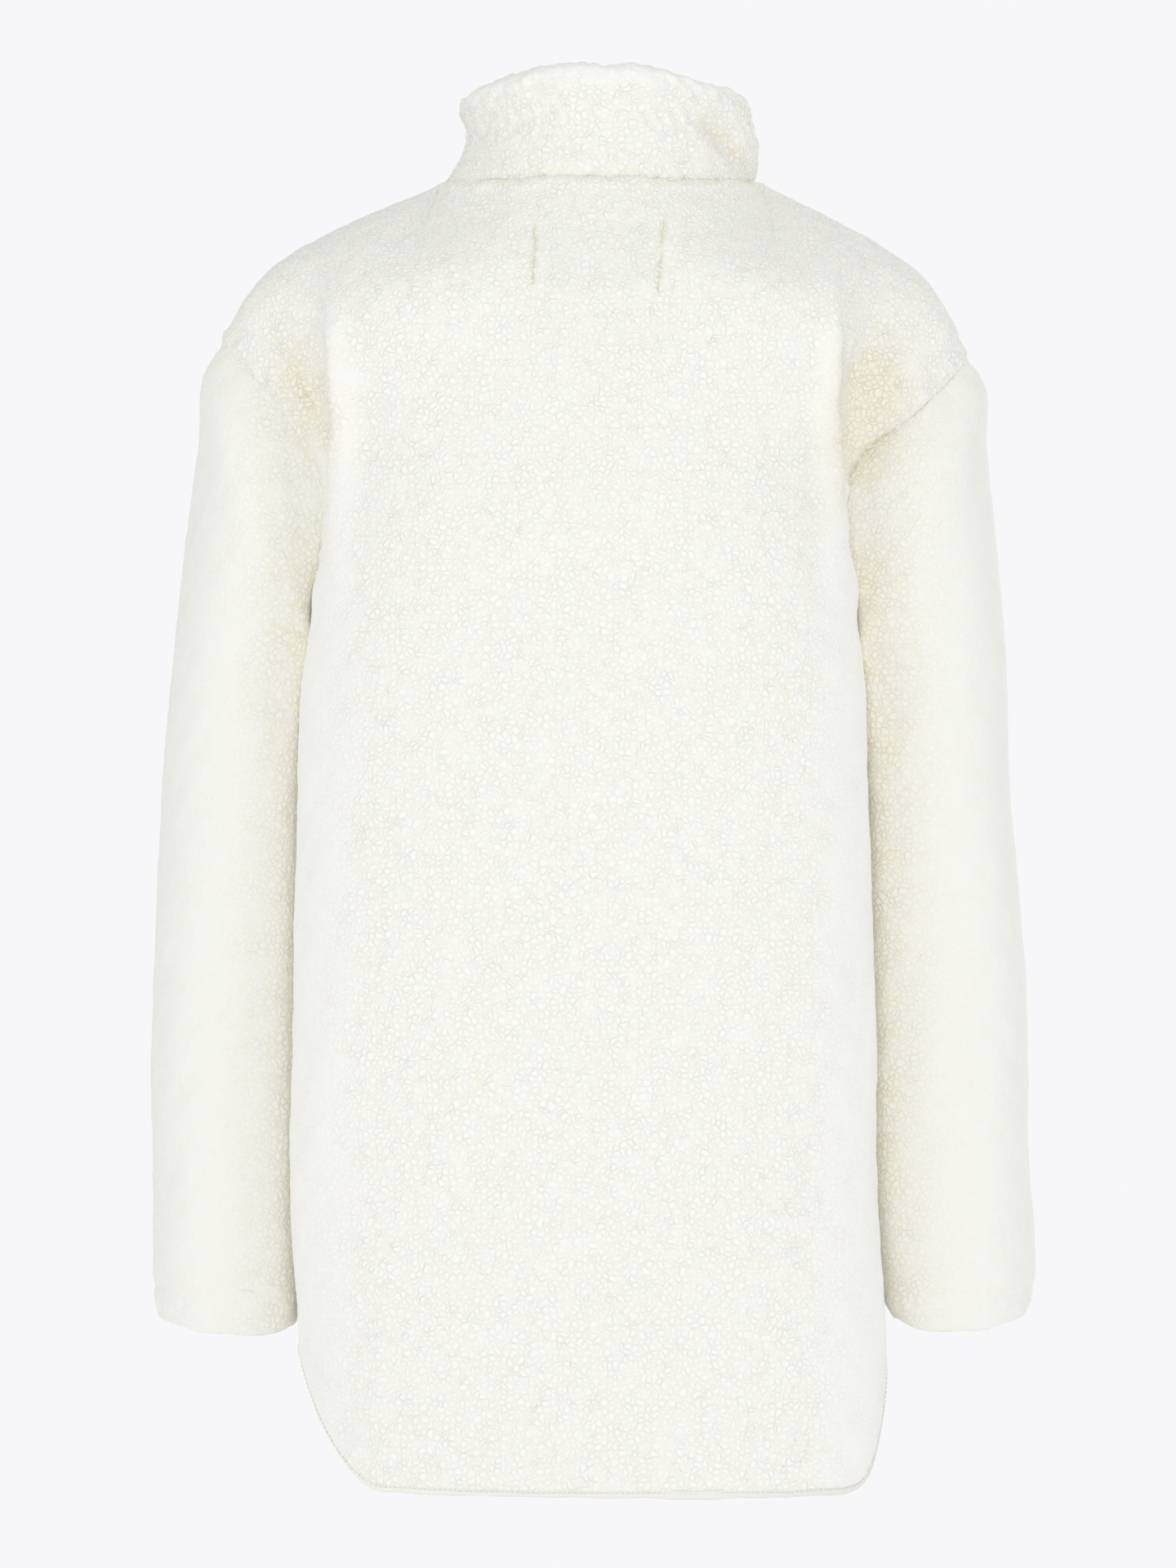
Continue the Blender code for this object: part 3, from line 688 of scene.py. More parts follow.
def relief(name, points, directions):
    """The height of the cloth beside its seams, then the shade painted into its hollows, seam grooves and the
    sleeves' sides towards the body, and how much pile is left, from 0 to 1.
    """
    height = 0.5 * wander(points, SLOW) + 0.25 * wander(points, QUICK)
    creased = fold_depth(points, directions, [fold for fold in CREASES if fold[-1] < 0])
    # Painted shade: a warm darker colour in the creases' troughs and on the sleeves' sides towards the body; the
    # seam grooves and the label's stitches add theirs below.
    hollow_shade = np.maximum(np.clip(-creased / 7, 0, 0.8), shade_towards_body(name, points))
    uneven = 1 + 0.25 * wander(points, QUICK) + 0.35 * wander(points, TUFTS)
    nearest = np.full(points.shape[:-1], 99.0)
    for piece, seam, width, depth, place, rim_width, rim_height in SEAM_RELIEF:
        if piece == name:
            far = reach(seam_trees[seam], points)
            fade = ease(far / 3)
            height *= fade
            sunk = groove(far, width, depth) * np.clip(0.8 + 0.7 * wander(points, TUFTS), 0.1, 1.8)
            height += sunk + rim(far, place, rim_width, rim_height) * fade * uneven
            hollow_shade = np.maximum(hollow_shade, -0.6 * sunk)
            nearest = np.minimum(nearest, far)
    if name == "back":
        sunk = groove(label_distance(points), 1.1, 1.6)
        height += sunk
        hollow_shade = np.maximum(hollow_shade, -0.5 * sunk * np.clip(uneven, 0.6, 1.3))
    if name == "hem_binding":
        height -= TAPE_INSET
    return height, np.clip(hollow_shade, 0, 1), 0.35 + 0.65 * ease(nearest / 3.5)


# %% [markdown]
# ## From a grid to a sewn wall
# A wall is closed: the outer skin, a plainer inner skin, and a strip along each open edge. The
# inner skin needs only every fourth point, because the back of the cloth is flat. Where an edge is
# rolled, as on the collar, the cuffs and the tape, the outer skin goes on round the edge instead.
# %% Walls
SEWN_EDGES = {
    "back": ("first_row", "last_row", "first_column", "last_column"),
    "front": ("first_row", "last_row", "first_column", "last_column"),
    "sleeve_left": ("first_row", "last_row"),
    "sleeve_right": ("first_row", "last_row"),
    "cuff_left": ("first_row",),
    "cuff_right": ("first_row",),
    "collar": ("first_row",),
    "hem_binding": ("last_row",),
}


def set_back(name, points):
    """The points with their sewn edges moved half a seam gap, which is negative where they overlap."""
    closed = GRIDS[name][2]
    moved = points.copy()
    for edge in SEWN_EDGES[name]:
        rows, inner = {"first": (0, 1), "last": (-1, -2)}[edge.split("_")[0]]
        axis = 0 if edge.endswith("row") else 1
        border = np.take(points, rows, axis)
        inside = np.take(points, inner, axis)
        out = np.take(normals[name], rows, axis)
        tangent = np.roll(border, -1, axis=0) - np.roll(border, 1, axis=0)
        if not closed:
            tangent = np.gradient(border, axis=0)
        away = unit(np.cross(out, unit(tangent)))
        away *= np.sign(np.sum(away * (inside - border), axis=1, keepdims=True))
        target = (rows, slice(None)) if axis == 0 else (slice(None), rows)
        moved[target] += away * SEAM_GAP / 2
    return moved


def halfway(rows):
    """A closed grid with one more column between each two."""
    between = (rows + np.roll(rows, -1, axis=1)) / 2
    return np.stack([rows, between], axis=2).reshape(rows.shape[0], -1, 3)


def strip(line, inner_line, flip):
    """Triangles from a fine edge to a coarse one, where each coarse step spans several fine ones."""
    faces = []
    for k in range(len(inner_line) - 1):
        fine = line[k * INNER_STEP : (k + 1) * INNER_STEP + 1]
        a, b = inner_line[k], inner_line[k + 1]
        half = INNER_STEP // 2
        faces += [(fine[j], fine[j + 1], a) for j in range(half)]
        faces += [(fine[j], fine[j + 1], b) for j in range(half, INNER_STEP)]
        faces.append((a, fine[half], b))
    return [face[::-1] for face in faces] if flip else faces


def quads_of(index):
    """The faces between the rows and columns of a grid of indices."""
    corners = [index[:-1, :-1], index[:-1, 1:], index[1:, 1:], index[1:, :-1]]
    return np.stack(corners, axis=-1).reshape(-1, 4)


def wrap(index, closed):
    """The grid of indices with its first column again at the end, where it is closed."""
    return np.concatenate([index, index[:, :1]], axis=1) if closed else index


def panel_wall(name):
    """Points, directions, faces and the count of outer points of a wall with a plain inner skin."""
    closed, turned = GRIDS[name][2:]
    outer = set_back(name, skins[name])
    inner = (outer - PILE_WALL * normals[name])[::INNER_STEP, ::INNER_STEP]
    rows, columns = outer.shape[:2]
    index = wrap(np.arange(rows * columns).reshape(rows, columns), closed)
    coarse = rows * columns + np.arange(inner.shape[0] * inner.shape[1]).reshape(inner.shape[:2])
    coarse = wrap(coarse, closed)
    outer_faces = quads_of(index).tolist()
    inner_faces = quads_of(coarse)[:, ::-1].tolist()
    edges = strip(index[0], coarse[0], True) + strip(index[-1], coarse[-1], False)
    if not closed:
        edges += strip(index[:, 0], coarse[:, 0], False) + strip(index[:, -1], coarse[:, -1], True)
    faces = outer_faces + edges + inner_faces
    if turned:
        faces = [face[::-1] for face in faces]
    points = np.concatenate([outer.reshape(-1, 3), inner.reshape(-1, 3)])
    return points, normals[name].reshape(-1, 3), faces, len(outer_faces) + len(edges)


print("rolled edges: collar, cuffs and tape; plain walls: the rest")

# %% [markdown]
# ## Rolled edges
# The roll is half a circle as wide as the wall is thick. It starts half that width below the edge, so
# the piece keeps its height. The direction of each point turns with the roll, so that the pile
# stands out all the way round it.
# %% Rolls
ROLL_TURNS = np.radians([30, 60, 90, 120, 150])


def rolled_wall(name, wall, free_edge_last):
    """Points, directions and faces of a wall whose free edge is rolled over."""
    turned = GRIDS[name][3]
    outer = set_back(name, skins[name])
    out = normals[name]
    if name == "collar":
        outer, out = halfway(outer), unit(halfway(out))
    if not free_edge_last:
        outer, out = outer[::-1], out[::-1]
        turned = not turned
    length = chord_knots(outer)
    shares = np.linspace(0, 1, len(outer))
    kept = spline(length, outer, shares * (length[-1] - wall / 2))
    out = unit(spline(length, out, shares * (length[-1] - wall / 2)))
    along = unit(outer[-1] - outer[-2])
    along = unit(along - np.sum(along * out[-1], axis=1, keepdims=True) * out[-1])
    thick = np.full((len(kept), 1, 1), float(wall))
    if name == "collar":
        thick[0] = PILE_WALL
    points, directions = [kept], [out]
    for turn in ROLL_TURNS:
        direction = np.cos(turn) * out[-1] + np.sin(turn) * along
        points.append((kept[-1] - wall / 2 * out[-1] + wall / 2 * direction)[None])
        directions.append(direction[None])
    points.append((kept - thick * out)[::-1])
    directions.append(-out[::-1])
    points, directions = np.concatenate(points), np.concatenate(directions)
    index = np.arange(points.shape[0] * points.shape[1]).reshape(points.shape[:2])
    if name != "hem_binding":
        index = np.concatenate([index, index[:1]])
    faces = quads_of(wrap(index, True))
    if turned:
        faces = faces[:, ::-1]
    return points, directions, faces.tolist()


# %% [markdown]
# ## Lifting the curls
# The curls are drawn by Geometry Nodes. A Voronoi texture splits the cloth into cells as wide as a
# curl, and each cell is lifted like a small pillow along the direction stored on its points. The
# tips reach the wall's own surface and the creases between them sink below it.
# %% Node helpers
def node(tree, kind, inputs=None, **settings):
    """Adds a node, and sets or links its inputs by name or number."""
    made = tree.nodes.new(kind)
    for key, value in settings.items():
        setattr(made, key, value)
    for key, value in (inputs or {}).items():
        if isinstance(value, bpy.types.NodeSocket):
            tree.links.new(value, made.inputs[key])
        else:
            made.inputs[key].default_value = value
    return made


def sums(tree, operation, first, second=None, third=None, clamp=False):
    """A Math node's result."""
    inputs = {k: v for k, v in enumerate((first, second, third)) if v is not None}
    return node(tree, "ShaderNodeMath", inputs, operation=operation, use_clamp=clamp).outputs[0]


def vectors(tree, operation, first, second=None, scale=None):
    """A Vector Math node's result."""
    inputs = {k: v for k, v in ((0, first), (1, second), ("Scale", scale)) if v is not None}
    return node(tree, "ShaderNodeVectorMath", inputs, operation=operation).outputs[0]


def fade_in(tree, value, low, high, start=0.0, end=1.0):
    """A Map Range node that goes smoothly from start to end."""
    inputs = {"Value": value, "From Min": low, "From Max": high, "To Min": start, "To Max": end}
    made = node(tree, "ShaderNodeMapRange", inputs, interpolation_type="SMOOTHSTEP")
    return made.outputs["Result"]


def sockets(tree, inputs, outputs):
    """Names a group's inputs, each with its first value, and its outputs."""
    for name, kind, value in inputs:
        socket = tree.interface.new_socket(name, in_out="INPUT", socket_type="NodeSocket" + kind)
        if value is not None:
            socket.default_value = value
    for name, kind in outputs:
        tree.interface.new_socket(name, in_out="OUTPUT", socket_type="NodeSocket" + kind)
    return tree.nodes.new("NodeGroupInput"), tree.nodes.new("NodeGroupOutput")


# %% [markdown]
# ## One pattern of curls for shape and colour
# The same few textures are used twice: by the geometry, which lifts the curls, and by the
# material, which paints shade into the creases and adds the small hairs. So they are drawn by one function.
# %% The pattern of curls
CURL_WIDTH = 0.0037


def curl_pattern(tree, place, width):
    """Pillows, creases and a random tone for each curl, in any node tree."""
    stir = node(tree, "ShaderNodeTexNoise", {"Vector": place, "Scale": 150.0, "Detail": 0.5})
    shift = vectors(tree, "SUBTRACT", stir.outputs["Color"], (0.5, 0.5, 0.5))
    place = vectors(tree, "ADD", place, vectors(tree, "SCALE", shift, scale=0.004))
    scale = sums(tree, "DIVIDE", 1.0, width)
    settings = {"Vector": place, "Scale": scale, "Randomness": 0.92}
    edge = node(tree, "ShaderNodeTexVoronoi", settings, feature="DISTANCE_TO_EDGE")
    fine_scale = sums(tree, "MULTIPLY", scale, 2.3)
    fine = node(tree, "ShaderNodeTexVoronoi", {"Vector": place, "Scale": fine_scale})
    return edge.outputs["Distance"], fine.outputs["Distance"], stir.outputs["Fac"]


def pile_tree():
    """The geometry nodes that lift the curls."""
    tree = bpy.data.node_groups.new("Lifted curls", "GeometryNodeTree")
    start, end = sockets(tree, [("Cloth", "Geometry", None)], [("Cloth", "Geometry")])
    place = tree.nodes.new("GeometryNodeInputPosition").outputs[0]
    edge, fine, tone = curl_pattern(tree, place, CURL_WIDTH)
    pillow = fade_in(tree, edge, 0.0, 0.34)
    height = sums(tree, "MULTIPLY", pillow, fade_in(tree, tone, 0.3, 0.7, 0.55, 1.0))
    height = sums(tree, "SUBTRACT", height, sums(tree, "MULTIPLY", fine, 0.12))
    deep = sums(tree, "SUBTRACT", height, 0.8)
    stored = "GeometryNodeInputNamedAttribute"
    pile = node(tree, stored, {"Name": "pile"}, data_type="FLOAT").outputs[0]
    out = node(tree, stored, {"Name": "out"}, data_type="FLOAT_VECTOR").outputs[0]
    move = vectors(tree, "SCALE", out, scale=sums(tree, "MULTIPLY", deep, pile))
    lifted = node(tree, "GeometryNodeSetPosition", {"Geometry": start.outputs[0], "Offset": move})
    tree.links.new(lifted.outputs[0], end.inputs[0])
    return tree


PILE_TREE = pile_tree()
print("a curl is", CURL_WIDTH / MM, "mm wide")


# %% [markdown]
# ## The pile's colour and feel
# The pile is off-white and nearly white on the tips; a warm painted shade darkens the creases between the curls and
# the hollows of the cloth.
# One shader group gives both materials of the pile their bump, creases and tone. The
# Principled BSDF stays in each material, with a little sheen for the soft hairs.
# %% Group: sherpa curls
def curl_group():
    """A shader group: the height of the pile, its creases and the tone of its curls."""
    tree = bpy.data.node_groups.new("Sherpa curls", "ShaderNodeTree")
    inputs = [("Curl width", "Float", CURL_WIDTH), ("Fluff", "Float", 0.0)]
    outputs = [("Height", "Float"), ("Crease", "Float"), ("Tone", "Float")]
    start, end = sockets(tree, inputs, outputs)
    place = tree.nodes.new("ShaderNodeTexCoord").outputs["Object"]
    edge, fine, tone = curl_pattern(tree, place, start.outputs["Curl width"])
    firm = sums(tree, "SUBTRACT", 1.0, start.outputs["Fluff"], clamp=True)
    pillow = fade_in(tree, edge, 0.0, 0.26)
    pillow = sums(tree, "MULTIPLY", pillow, fade_in(tree, tone, 0.3, 0.7, 0.6, 1.0))
    hairs = node(tree, "ShaderNodeTexNoise", {"Vector": place, "Scale": 1500.0, "Detail": 1.5})
    hairs = hairs.outputs["Fac"]
    patches = node(tree, "ShaderNodeTexNoise", {"Vector": place, "Scale": 110.0, "Detail": 1.0})
    open_here = fade_in(tree, patches.outputs["Fac"], 0.36, 0.64, 0.5, 1.0)
    crease = fade_in(tree, edge, 0.0, 0.13, 1.0, 0.0)
    crease = sums(tree, "MULTIPLY", crease, open_here)
    crease = sums(tree, "MULTIPLY", crease, firm)
    small = sums(tree, "MULTIPLY", sums(tree, "SUBTRACT", 1.0, fine), 0.16)
    height = sums(tree, "ADD", sums(tree, "MULTIPLY", pillow, firm), small)
    height = sums(tree, "ADD", height, sums(tree, "MULTIPLY", hairs, 0.12))
    tree.links.new(height, end.inputs["Height"])
    tree.links.new(crease, end.inputs["Crease"])
    tree.links.new(sums(tree, "MULTIPLY", sums(tree, "ADD", tone, hairs), 0.5), end.inputs["Tone"])
    return tree


CURLS = curl_group()


# %% Materials of the pile
def material(name, sheen=0.0):
    """An empty material with its Principled BSDF, matt, with a constant sheen."""
    made = bpy.data.materials.new(name)
    made.use_nodes = True
    shader = made.node_tree.nodes["Principled BSDF"]
    shader.inputs["Specular IOR Level"].default_value = 0.15
    shader.inputs["Sheen Weight"].default_value = sheen
    shader.inputs["Sheen Roughness"].default_value = 0.6
    return made, made.node_tree, shader


def mix_colour(tree, share, first, second):
    """Two colours mixed by a share."""
    made = node(tree, "ShaderNodeMix", {0: share, 6: first, 7: second}, data_type="RGBA")
    return made.outputs[2]


PILE_TIP = (0.955, 0.953, 0.915, 1)
PILE_TIP_DIM = (0.935, 0.93, 0.885, 1)
# Painted shade: the sleeves are the same cloth as the body, and their tips are a darker copy of its tips.
SLEEVE_TIP_SHADED = (0.925, 0.925, 0.875, 1)
SLEEVE_TIP_DIM_SHADED = (0.905, 0.90, 0.84, 1)
# Painted shade, warm: the colours of the creases between the curls, of the hollows, and of the creases in the
# hollows.
PILE_CREASE_SHADE = (0.82, 0.78, 0.58, 1)
PILE_HOLLOW_SHADE = (0.84, 0.78, 0.57, 1)
PILE_DEEP_SHADE = (0.69, 0.595, 0.35, 1)
LABEL_TINT = (0.87, 0.875, 0.84, 1)


def pile_material(name, tip, dim, bump, crease_shade_share):
    """Curled off-white pile, with warm shade painted into its creases and hollows."""
    made, tree, shader = material(name, sheen=0.5)
    fluff = node(tree, "ShaderNodeAttribute", attribute_name="fluff").outputs["Fac"]
    hollow_shade = node(tree, "ShaderNodeAttribute", attribute_name="hollow_shade").outputs["Fac"]
    label = node(tree, "ShaderNodeAttribute", attribute_name="label").outputs["Fac"]
    curls = node(tree, "ShaderNodeGroup", {}, node_tree=CURLS)
    tree.links.new(fluff, curls.inputs["Fluff"])
    curls.inputs["Curl width"].default_value = CURL_WIDTH
    colour = mix_colour(tree, fade_in(tree, curls.outputs["Tone"], 0.25, 0.75), dim, tip)
    colour = mix_colour(tree, label, colour, LABEL_TINT)
    # Painted shade: the hollows take a warm darker colour, and more of the crease shade.
    colour = mix_colour(tree, sums(tree, "MULTIPLY", hollow_shade, 0.5), colour, PILE_HOLLOW_SHADE)
    crease_shade_share = sums(tree, "MULTIPLY_ADD", hollow_shade, 0.4, crease_shade_share)
    crease = sums(tree, "MULTIPLY", curls.outputs["Crease"], crease_shade_share, clamp=True)
    # Painted shade: the creases between the curls take a warm darker colour, darker still in the hollows.
    colour = mix_colour(tree, crease, colour, mix_colour(tree, hollow_shade, PILE_CREASE_SHADE, PILE_DEEP_SHADE))
    tree.links.new(colour, shader.inputs["Base Color"])
    tree.links.new(fade_in(tree, curls.outputs["Crease"], 0.0, 1.0, 0.86, 1.0), shader.inputs["Roughness"])
    raised = node(tree, "ShaderNodeBump", {"Strength": 1.0, "Distance": bump, "Height": curls.outputs["Height"]})
    tree.links.new(raised.outputs["Normal"], shader.inputs["Normal"])
    return made


BODY_PILE = pile_material("sherpa_body", PILE_TIP, PILE_TIP_DIM, 0.00042, 0.5)
SLEEVE_PILE = pile_material("sherpa_sleeve", SLEEVE_TIP_SHADED, SLEEVE_TIP_DIM_SHADED, 0.0004, 0.48)
print("pile materials: body and sleeve")

# %% [markdown]
# ## The back of the cloth and the tape
# Inside, the fleece shows the smooth knit that carries the pile: fine ribs of loops, a little warm.
# The tape is a knit as well, denser and smoother. Both are rows of small loops, so one shader group
# draws them, from how wide and how tall a loop is.
# %% Group: knit loops
def knit_group():
    """A shader group: rows of small loops, in the object's own X, Y and Z."""
    tree = bpy.data.node_groups.new("Knit loops", "ShaderNodeTree")
    inputs = [("Loop width", "Float", 0.0016), ("Loop height", "Float", 0.0012)]
    start, end = sockets(tree, inputs, [("Height", "Float"), ("Fuzz", "Float")])
    place = tree.nodes.new("ShaderNodeTexCoord").outputs["Object"]
    axes = node(tree, "ShaderNodeSeparateXYZ", {0: place})
    round_it = sums(tree, "ADD", axes.outputs["X"], axes.outputs["Y"])
    turns = 2 * np.pi
    across = sums(tree, "DIVIDE", round_it, start.outputs["Loop width"])
    up = sums(tree, "DIVIDE", axes.outputs["Z"], start.outputs["Loop height"])
    ribs = sums(tree, "COSINE", sums(tree, "MULTIPLY", across, turns))
    slant = sums(tree, "ADD", sums(tree, "MULTIPLY", up, turns), sums(tree, "MULTIPLY", ribs, 1.2))
    height = sums(tree, "ADD", sums(tree, "MULTIPLY", ribs, 0.6), sums(tree, "MULTIPLY", sums(tree, "SINE", slant), 0.4))
    fuzz = node(tree, "ShaderNodeTexNoise", {"Vector": place, "Scale": 700.0, "Detail": 3.0}).outputs["Fac"]
    height = sums(tree, "ADD", height, fuzz)
    tree.links.new(height, end.inputs["Height"])
    tree.links.new(fuzz, end.inputs["Fuzz"])
    return tree


KNIT = knit_group()


def knit_material(name, light, shade_colour, loop_width, loop_height, bump, sheen):
    """A smooth knit, with shade painted where its loops sink and a little random tone from its fuzz."""
    made, tree, shader = material(name, sheen=sheen)
    knit = node(tree, "ShaderNodeGroup", {}, node_tree=KNIT)
    knit.inputs["Loop width"].default_value = loop_width
    knit.inputs["Loop height"].default_value = loop_height
    # Painted shade: the knit is darker where its loops sink; the fuzz adds a little random tone.
    shade = fade_in(tree, knit.outputs["Height"], -0.8, 1.4)
    tree.links.new(mix_colour(tree, shade, shade_colour, light), shader.inputs["Base Color"])
    tree.links.new(fade_in(tree, knit.outputs["Fuzz"], 0.3, 0.7, 0.75, 0.95), shader.inputs["Roughness"])
    raised = node(tree, "ShaderNodeBump", {"Strength": 0.8, "Distance": bump, "Height": knit.outputs["Height"]})
    tree.links.new(raised.outputs["Normal"], shader.inputs["Normal"])
    return made


CLOTH_BACK = knit_material(
    "fleece_back", (0.86, 0.83, 0.75, 1), (0.78, 0.74, 0.64, 1), 0.0018, 0.0014, 0.0002, 0.15)
TAPE_KNIT = knit_material(
    "tape_knit", (0.95, 0.945, 0.90, 1), (0.90, 0.89, 0.83, 1), 0.0011, 0.0009, 0.00015, 0.1)
THREAD = knit_material(
    "thread", (0.90, 0.88, 0.81, 1), (0.74, 0.69, 0.56, 1), 0.0006, 0.0005, 0.00008, 0.05)
print("knit materials: the back of the cloth, the tape and the thread")


# %% [markdown]
# ## Sewing the pieces
# Each piece becomes one object. Beside its shape it stores four values on its points: the direction
# of its pile, the depth of its curls, where it is fluffy rather than curled, and how much shade is
# painted into its hollows. The pile is short and brushed smooth on the sleeves, and curliest on the back and collar.
# %% Making a piece
CUT_CORNER = np.radians(70)
PILE_DEPTH = {"back": 0.3, "front": 0.3, "collar": 0.5, "sleeve": 0.45, "cuff": 0.6, "hem": 0.0}


def fluff_of(name, points, directions):
    """Where the pile is brushed smooth: the outer side of the sleeves and the body's rolled edges."""
    mottle = 0.12 * wander(points, QUICK)
    if name.startswith(("sleeve", "cuff")):
        inner, outer = (182, 262) if name.endswith("left") else (172, 258)
        out = (np.abs(points[..., 0]) - inner) / (outer - inner)
        return np.clip(0.05 + 0.8 * ease(out / 0.7) + mottle, 0, 0.95)
    if name in ("back", "front"):
        edge = ease((np.abs(points[..., 0] + 5) - 118) / 45) * ease((-130 - points[..., 2]) / 80)
        rolled = np.abs(fold_depth(points, directions, LEANS)) / 8
        return np.clip(0.65 * np.maximum(edge, rolled) + mottle, 0, 0.8)
    return np.clip(0.6 * ease((reach(seam_trees["brim"], points) * -1 + 16) / 12) + mottle, 0, 0.7)


def label_of(name, points):
    """The faint cool patch between the two short rows of stitches, where a label lies behind."""
    if name != "back":
        return np.zeros(points.shape[:-1])
    across = ease((40 - np.abs(points[..., 0] - 2)) / 14)
    up = ease((26 - np.abs(points[..., 2] + 47)) / 14)
    behind = points[..., 1] < 0
    return 0.5 * across * up * behind


def store(mesh, name, values):
    """Keeps one number or direction for each point of a mesh."""
    kind = "FLOAT" if values.ndim == 1 else "FLOAT_VECTOR"
    layer = mesh.attributes.new(name, kind, "POINT")
    layer.data.foreach_set("value" if values.ndim == 1 else "vector", values.astype(np.float32).ravel())


def sew(name, points, directions, faces, finishes, finish_of_face, pile):
    """Makes an object from a wall, moves it by its relief and lifts its curls."""
    flat = points.reshape(-1, 3)
    out = directions.reshape(-1, 3)
    count = len(out)
    height, hollow_shade, left = relief(name, flat[:count], out)
    moved = flat.copy()
    moved[:count] += height[:, None] * out
    mesh = bpy.data.meshes.new(name + "_cloth")
    mesh.from_pydata((moved * MM).tolist(), [], faces)
    for finish in finishes:
        mesh.materials.append(finish)
    mesh.polygons.foreach_set("material_index", finish_of_face)
    mesh.shade_smooth()
    mesh.set_sharp_from_angle(angle=CUT_CORNER)
    rest = len(flat) - count
    store(mesh, "out", np.concatenate([out, np.zeros((rest, 3))]))
    store(mesh, "pile", np.concatenate([pile * MM * left * np.clip(1 - hollow_shade, 0.3, 1), np.zeros(rest)]))
    store(mesh, "fluff", np.concatenate([fluff_of(name, flat[:count], out), np.zeros(rest)]))
    store(mesh, "hollow_shade", np.concatenate([hollow_shade, np.zeros(rest)]))
    store(mesh, "label", np.concatenate([label_of(name, flat[:count]), np.zeros(rest)]))
    piece = bpy.data.objects.new(name + "_cloth", mesh)
    bpy.context.scene.collection.objects.link(piece)
    if pile:
        lift = piece.modifiers.new("Lifted curls", "NODES")
        lift.node_group = PILE_TREE
    return piece


# %% [markdown]
# ## The panels and the sleeves
# These four are plain walls: curled outside, knit inside.
# %% Panels and sleeves
pieces = {}
for name, finish in (
    ("back", BODY_PILE), ("front", BODY_PILE), ("sleeve_left", SLEEVE_PILE), ("sleeve_right", SLEEVE_PILE),
):
    points, directions, faces, outer_count = panel_wall(name)
    finish_of_face = (np.arange(len(faces)) >= outer_count).astype(np.int32)
    pile = PILE_DEPTH[name.split("_")[0]]
    pieces[name] = sew(name, points, directions, faces, [finish, CLOTH_BACK], finish_of_face, pile)
    print(name, "has", len(faces), "faces")

# %% [markdown]
# ## The cuffs, the collar and the tape
# These go round their free edges. The collar and cuffs carry pile on both sides, and the tape has no
# pile, only its own fine loops.
# %% Cuffs, collar and tape
for name, finish, wall, free_edge_last in (
    ("cuff_left", SLEEVE_PILE, PILE_WALL, True),
    ("cuff_right", SLEEVE_PILE, PILE_WALL, True),
    ("collar", BODY_PILE, COLLAR_WALL, True),
    ("hem_binding", TAPE_KNIT, TAPE_WALL, False),
):
    points, directions, faces = rolled_wall(name, wall, free_edge_last)
    finish_of_face = np.zeros(len(faces), np.int32)
    pile = PILE_DEPTH[name.split("_")[0]]
    pieces[name] = sew(name, points, directions, faces, [finish], finish_of_face, pile)
    print(name, "has", len(faces), "faces")


# %% [markdown]
# ## Stitches
# Only two kinds of stitches show: the two short rows that hold a label inside the neck, and the row
# that runs along the top of the tape. Each stitch is a short bead of thread, sunk at both ends.
# They are made from one small bead, repeated along a line and joined.
# %% Stitches
STITCH_SIDES = 6
BEAD_RINGS = [(-0.5, 0.35, -0.25), (-0.3, 0.9, 0.15), (0.0, 1.0, 0.3), (0.3, 0.9, 0.15), (0.5, 0.35, -0.25)]


def bead(start, end, out, thickness):
    """Points and faces of one stitch. Each ring has a place along it, a width and a height."""
    along = end - start
    across = unit(np.cross(out, along))
    turns = np.linspace(0, 2 * np.pi, STITCH_SIDES, endpoint=False)
    points = []
    for place, width, height in BEAD_RINGS:
        middle = (start + end) / 2 + place * along + height * thickness * out
        for turn in turns:
            points.append(middle + thickness / 2 * width * (np.cos(turn) * across + np.sin(turn) * out))
    faces = []
    for ring in range(len(BEAD_RINGS) - 1):
        for k in range(STITCH_SIDES):
            a, b = ring * STITCH_SIDES + k, ring * STITCH_SIDES + (k + 1) % STITCH_SIDES
            faces.append((a, b, b + STITCH_SIDES, a + STITCH_SIDES))
    last = (len(BEAD_RINGS) - 1) * STITCH_SIDES
    faces.append(tuple(range(STITCH_SIDES))[::-1])
    faces.append(tuple(range(last, last + STITCH_SIDES)))
    return points, faces


def stitch_row(line, outs, length, gap, thickness):
    """Stitches along a line of points, each with its own direction out of the cloth."""
    knots = np.concatenate([[0], np.cumsum(np.linalg.norm(np.diff(line, axis=0), axis=1))])
    points, faces = [], []
    for start in np.arange(0, knots[-1] - length, length + gap):
        ends = [np.array([np.interp(at, knots, line[:, k]) for k in range(3)]) for at in (start, start + length)]
        out = unit(np.array([np.interp(start, knots, outs[:, k]) for k in range(3)]))
        made, sides = bead(ends[0], ends[1], out, thickness)
        faces += [tuple(k + len(points) for k in side) for side in sides]
        points += made
    return points, faces


def stitch_piece(name, rows):
    """All the stitches of one kind as one object."""
    points, faces = [], []
    for made, sides in rows:
        faces += [tuple(k + len(points) for k in side) for side in sides]
        points += made
    mesh = bpy.data.meshes.new(name)
    mesh.from_pydata((np.array(points) * MM).tolist(), [], faces)
    mesh.materials.append(THREAD)
    mesh.shade_smooth()
    piece = bpy.data.objects.new(name, mesh)
    bpy.context.scene.collection.objects.link(piece)
    print(name, "has", len(rows), "rows and", len(faces), "faces")
    return piece


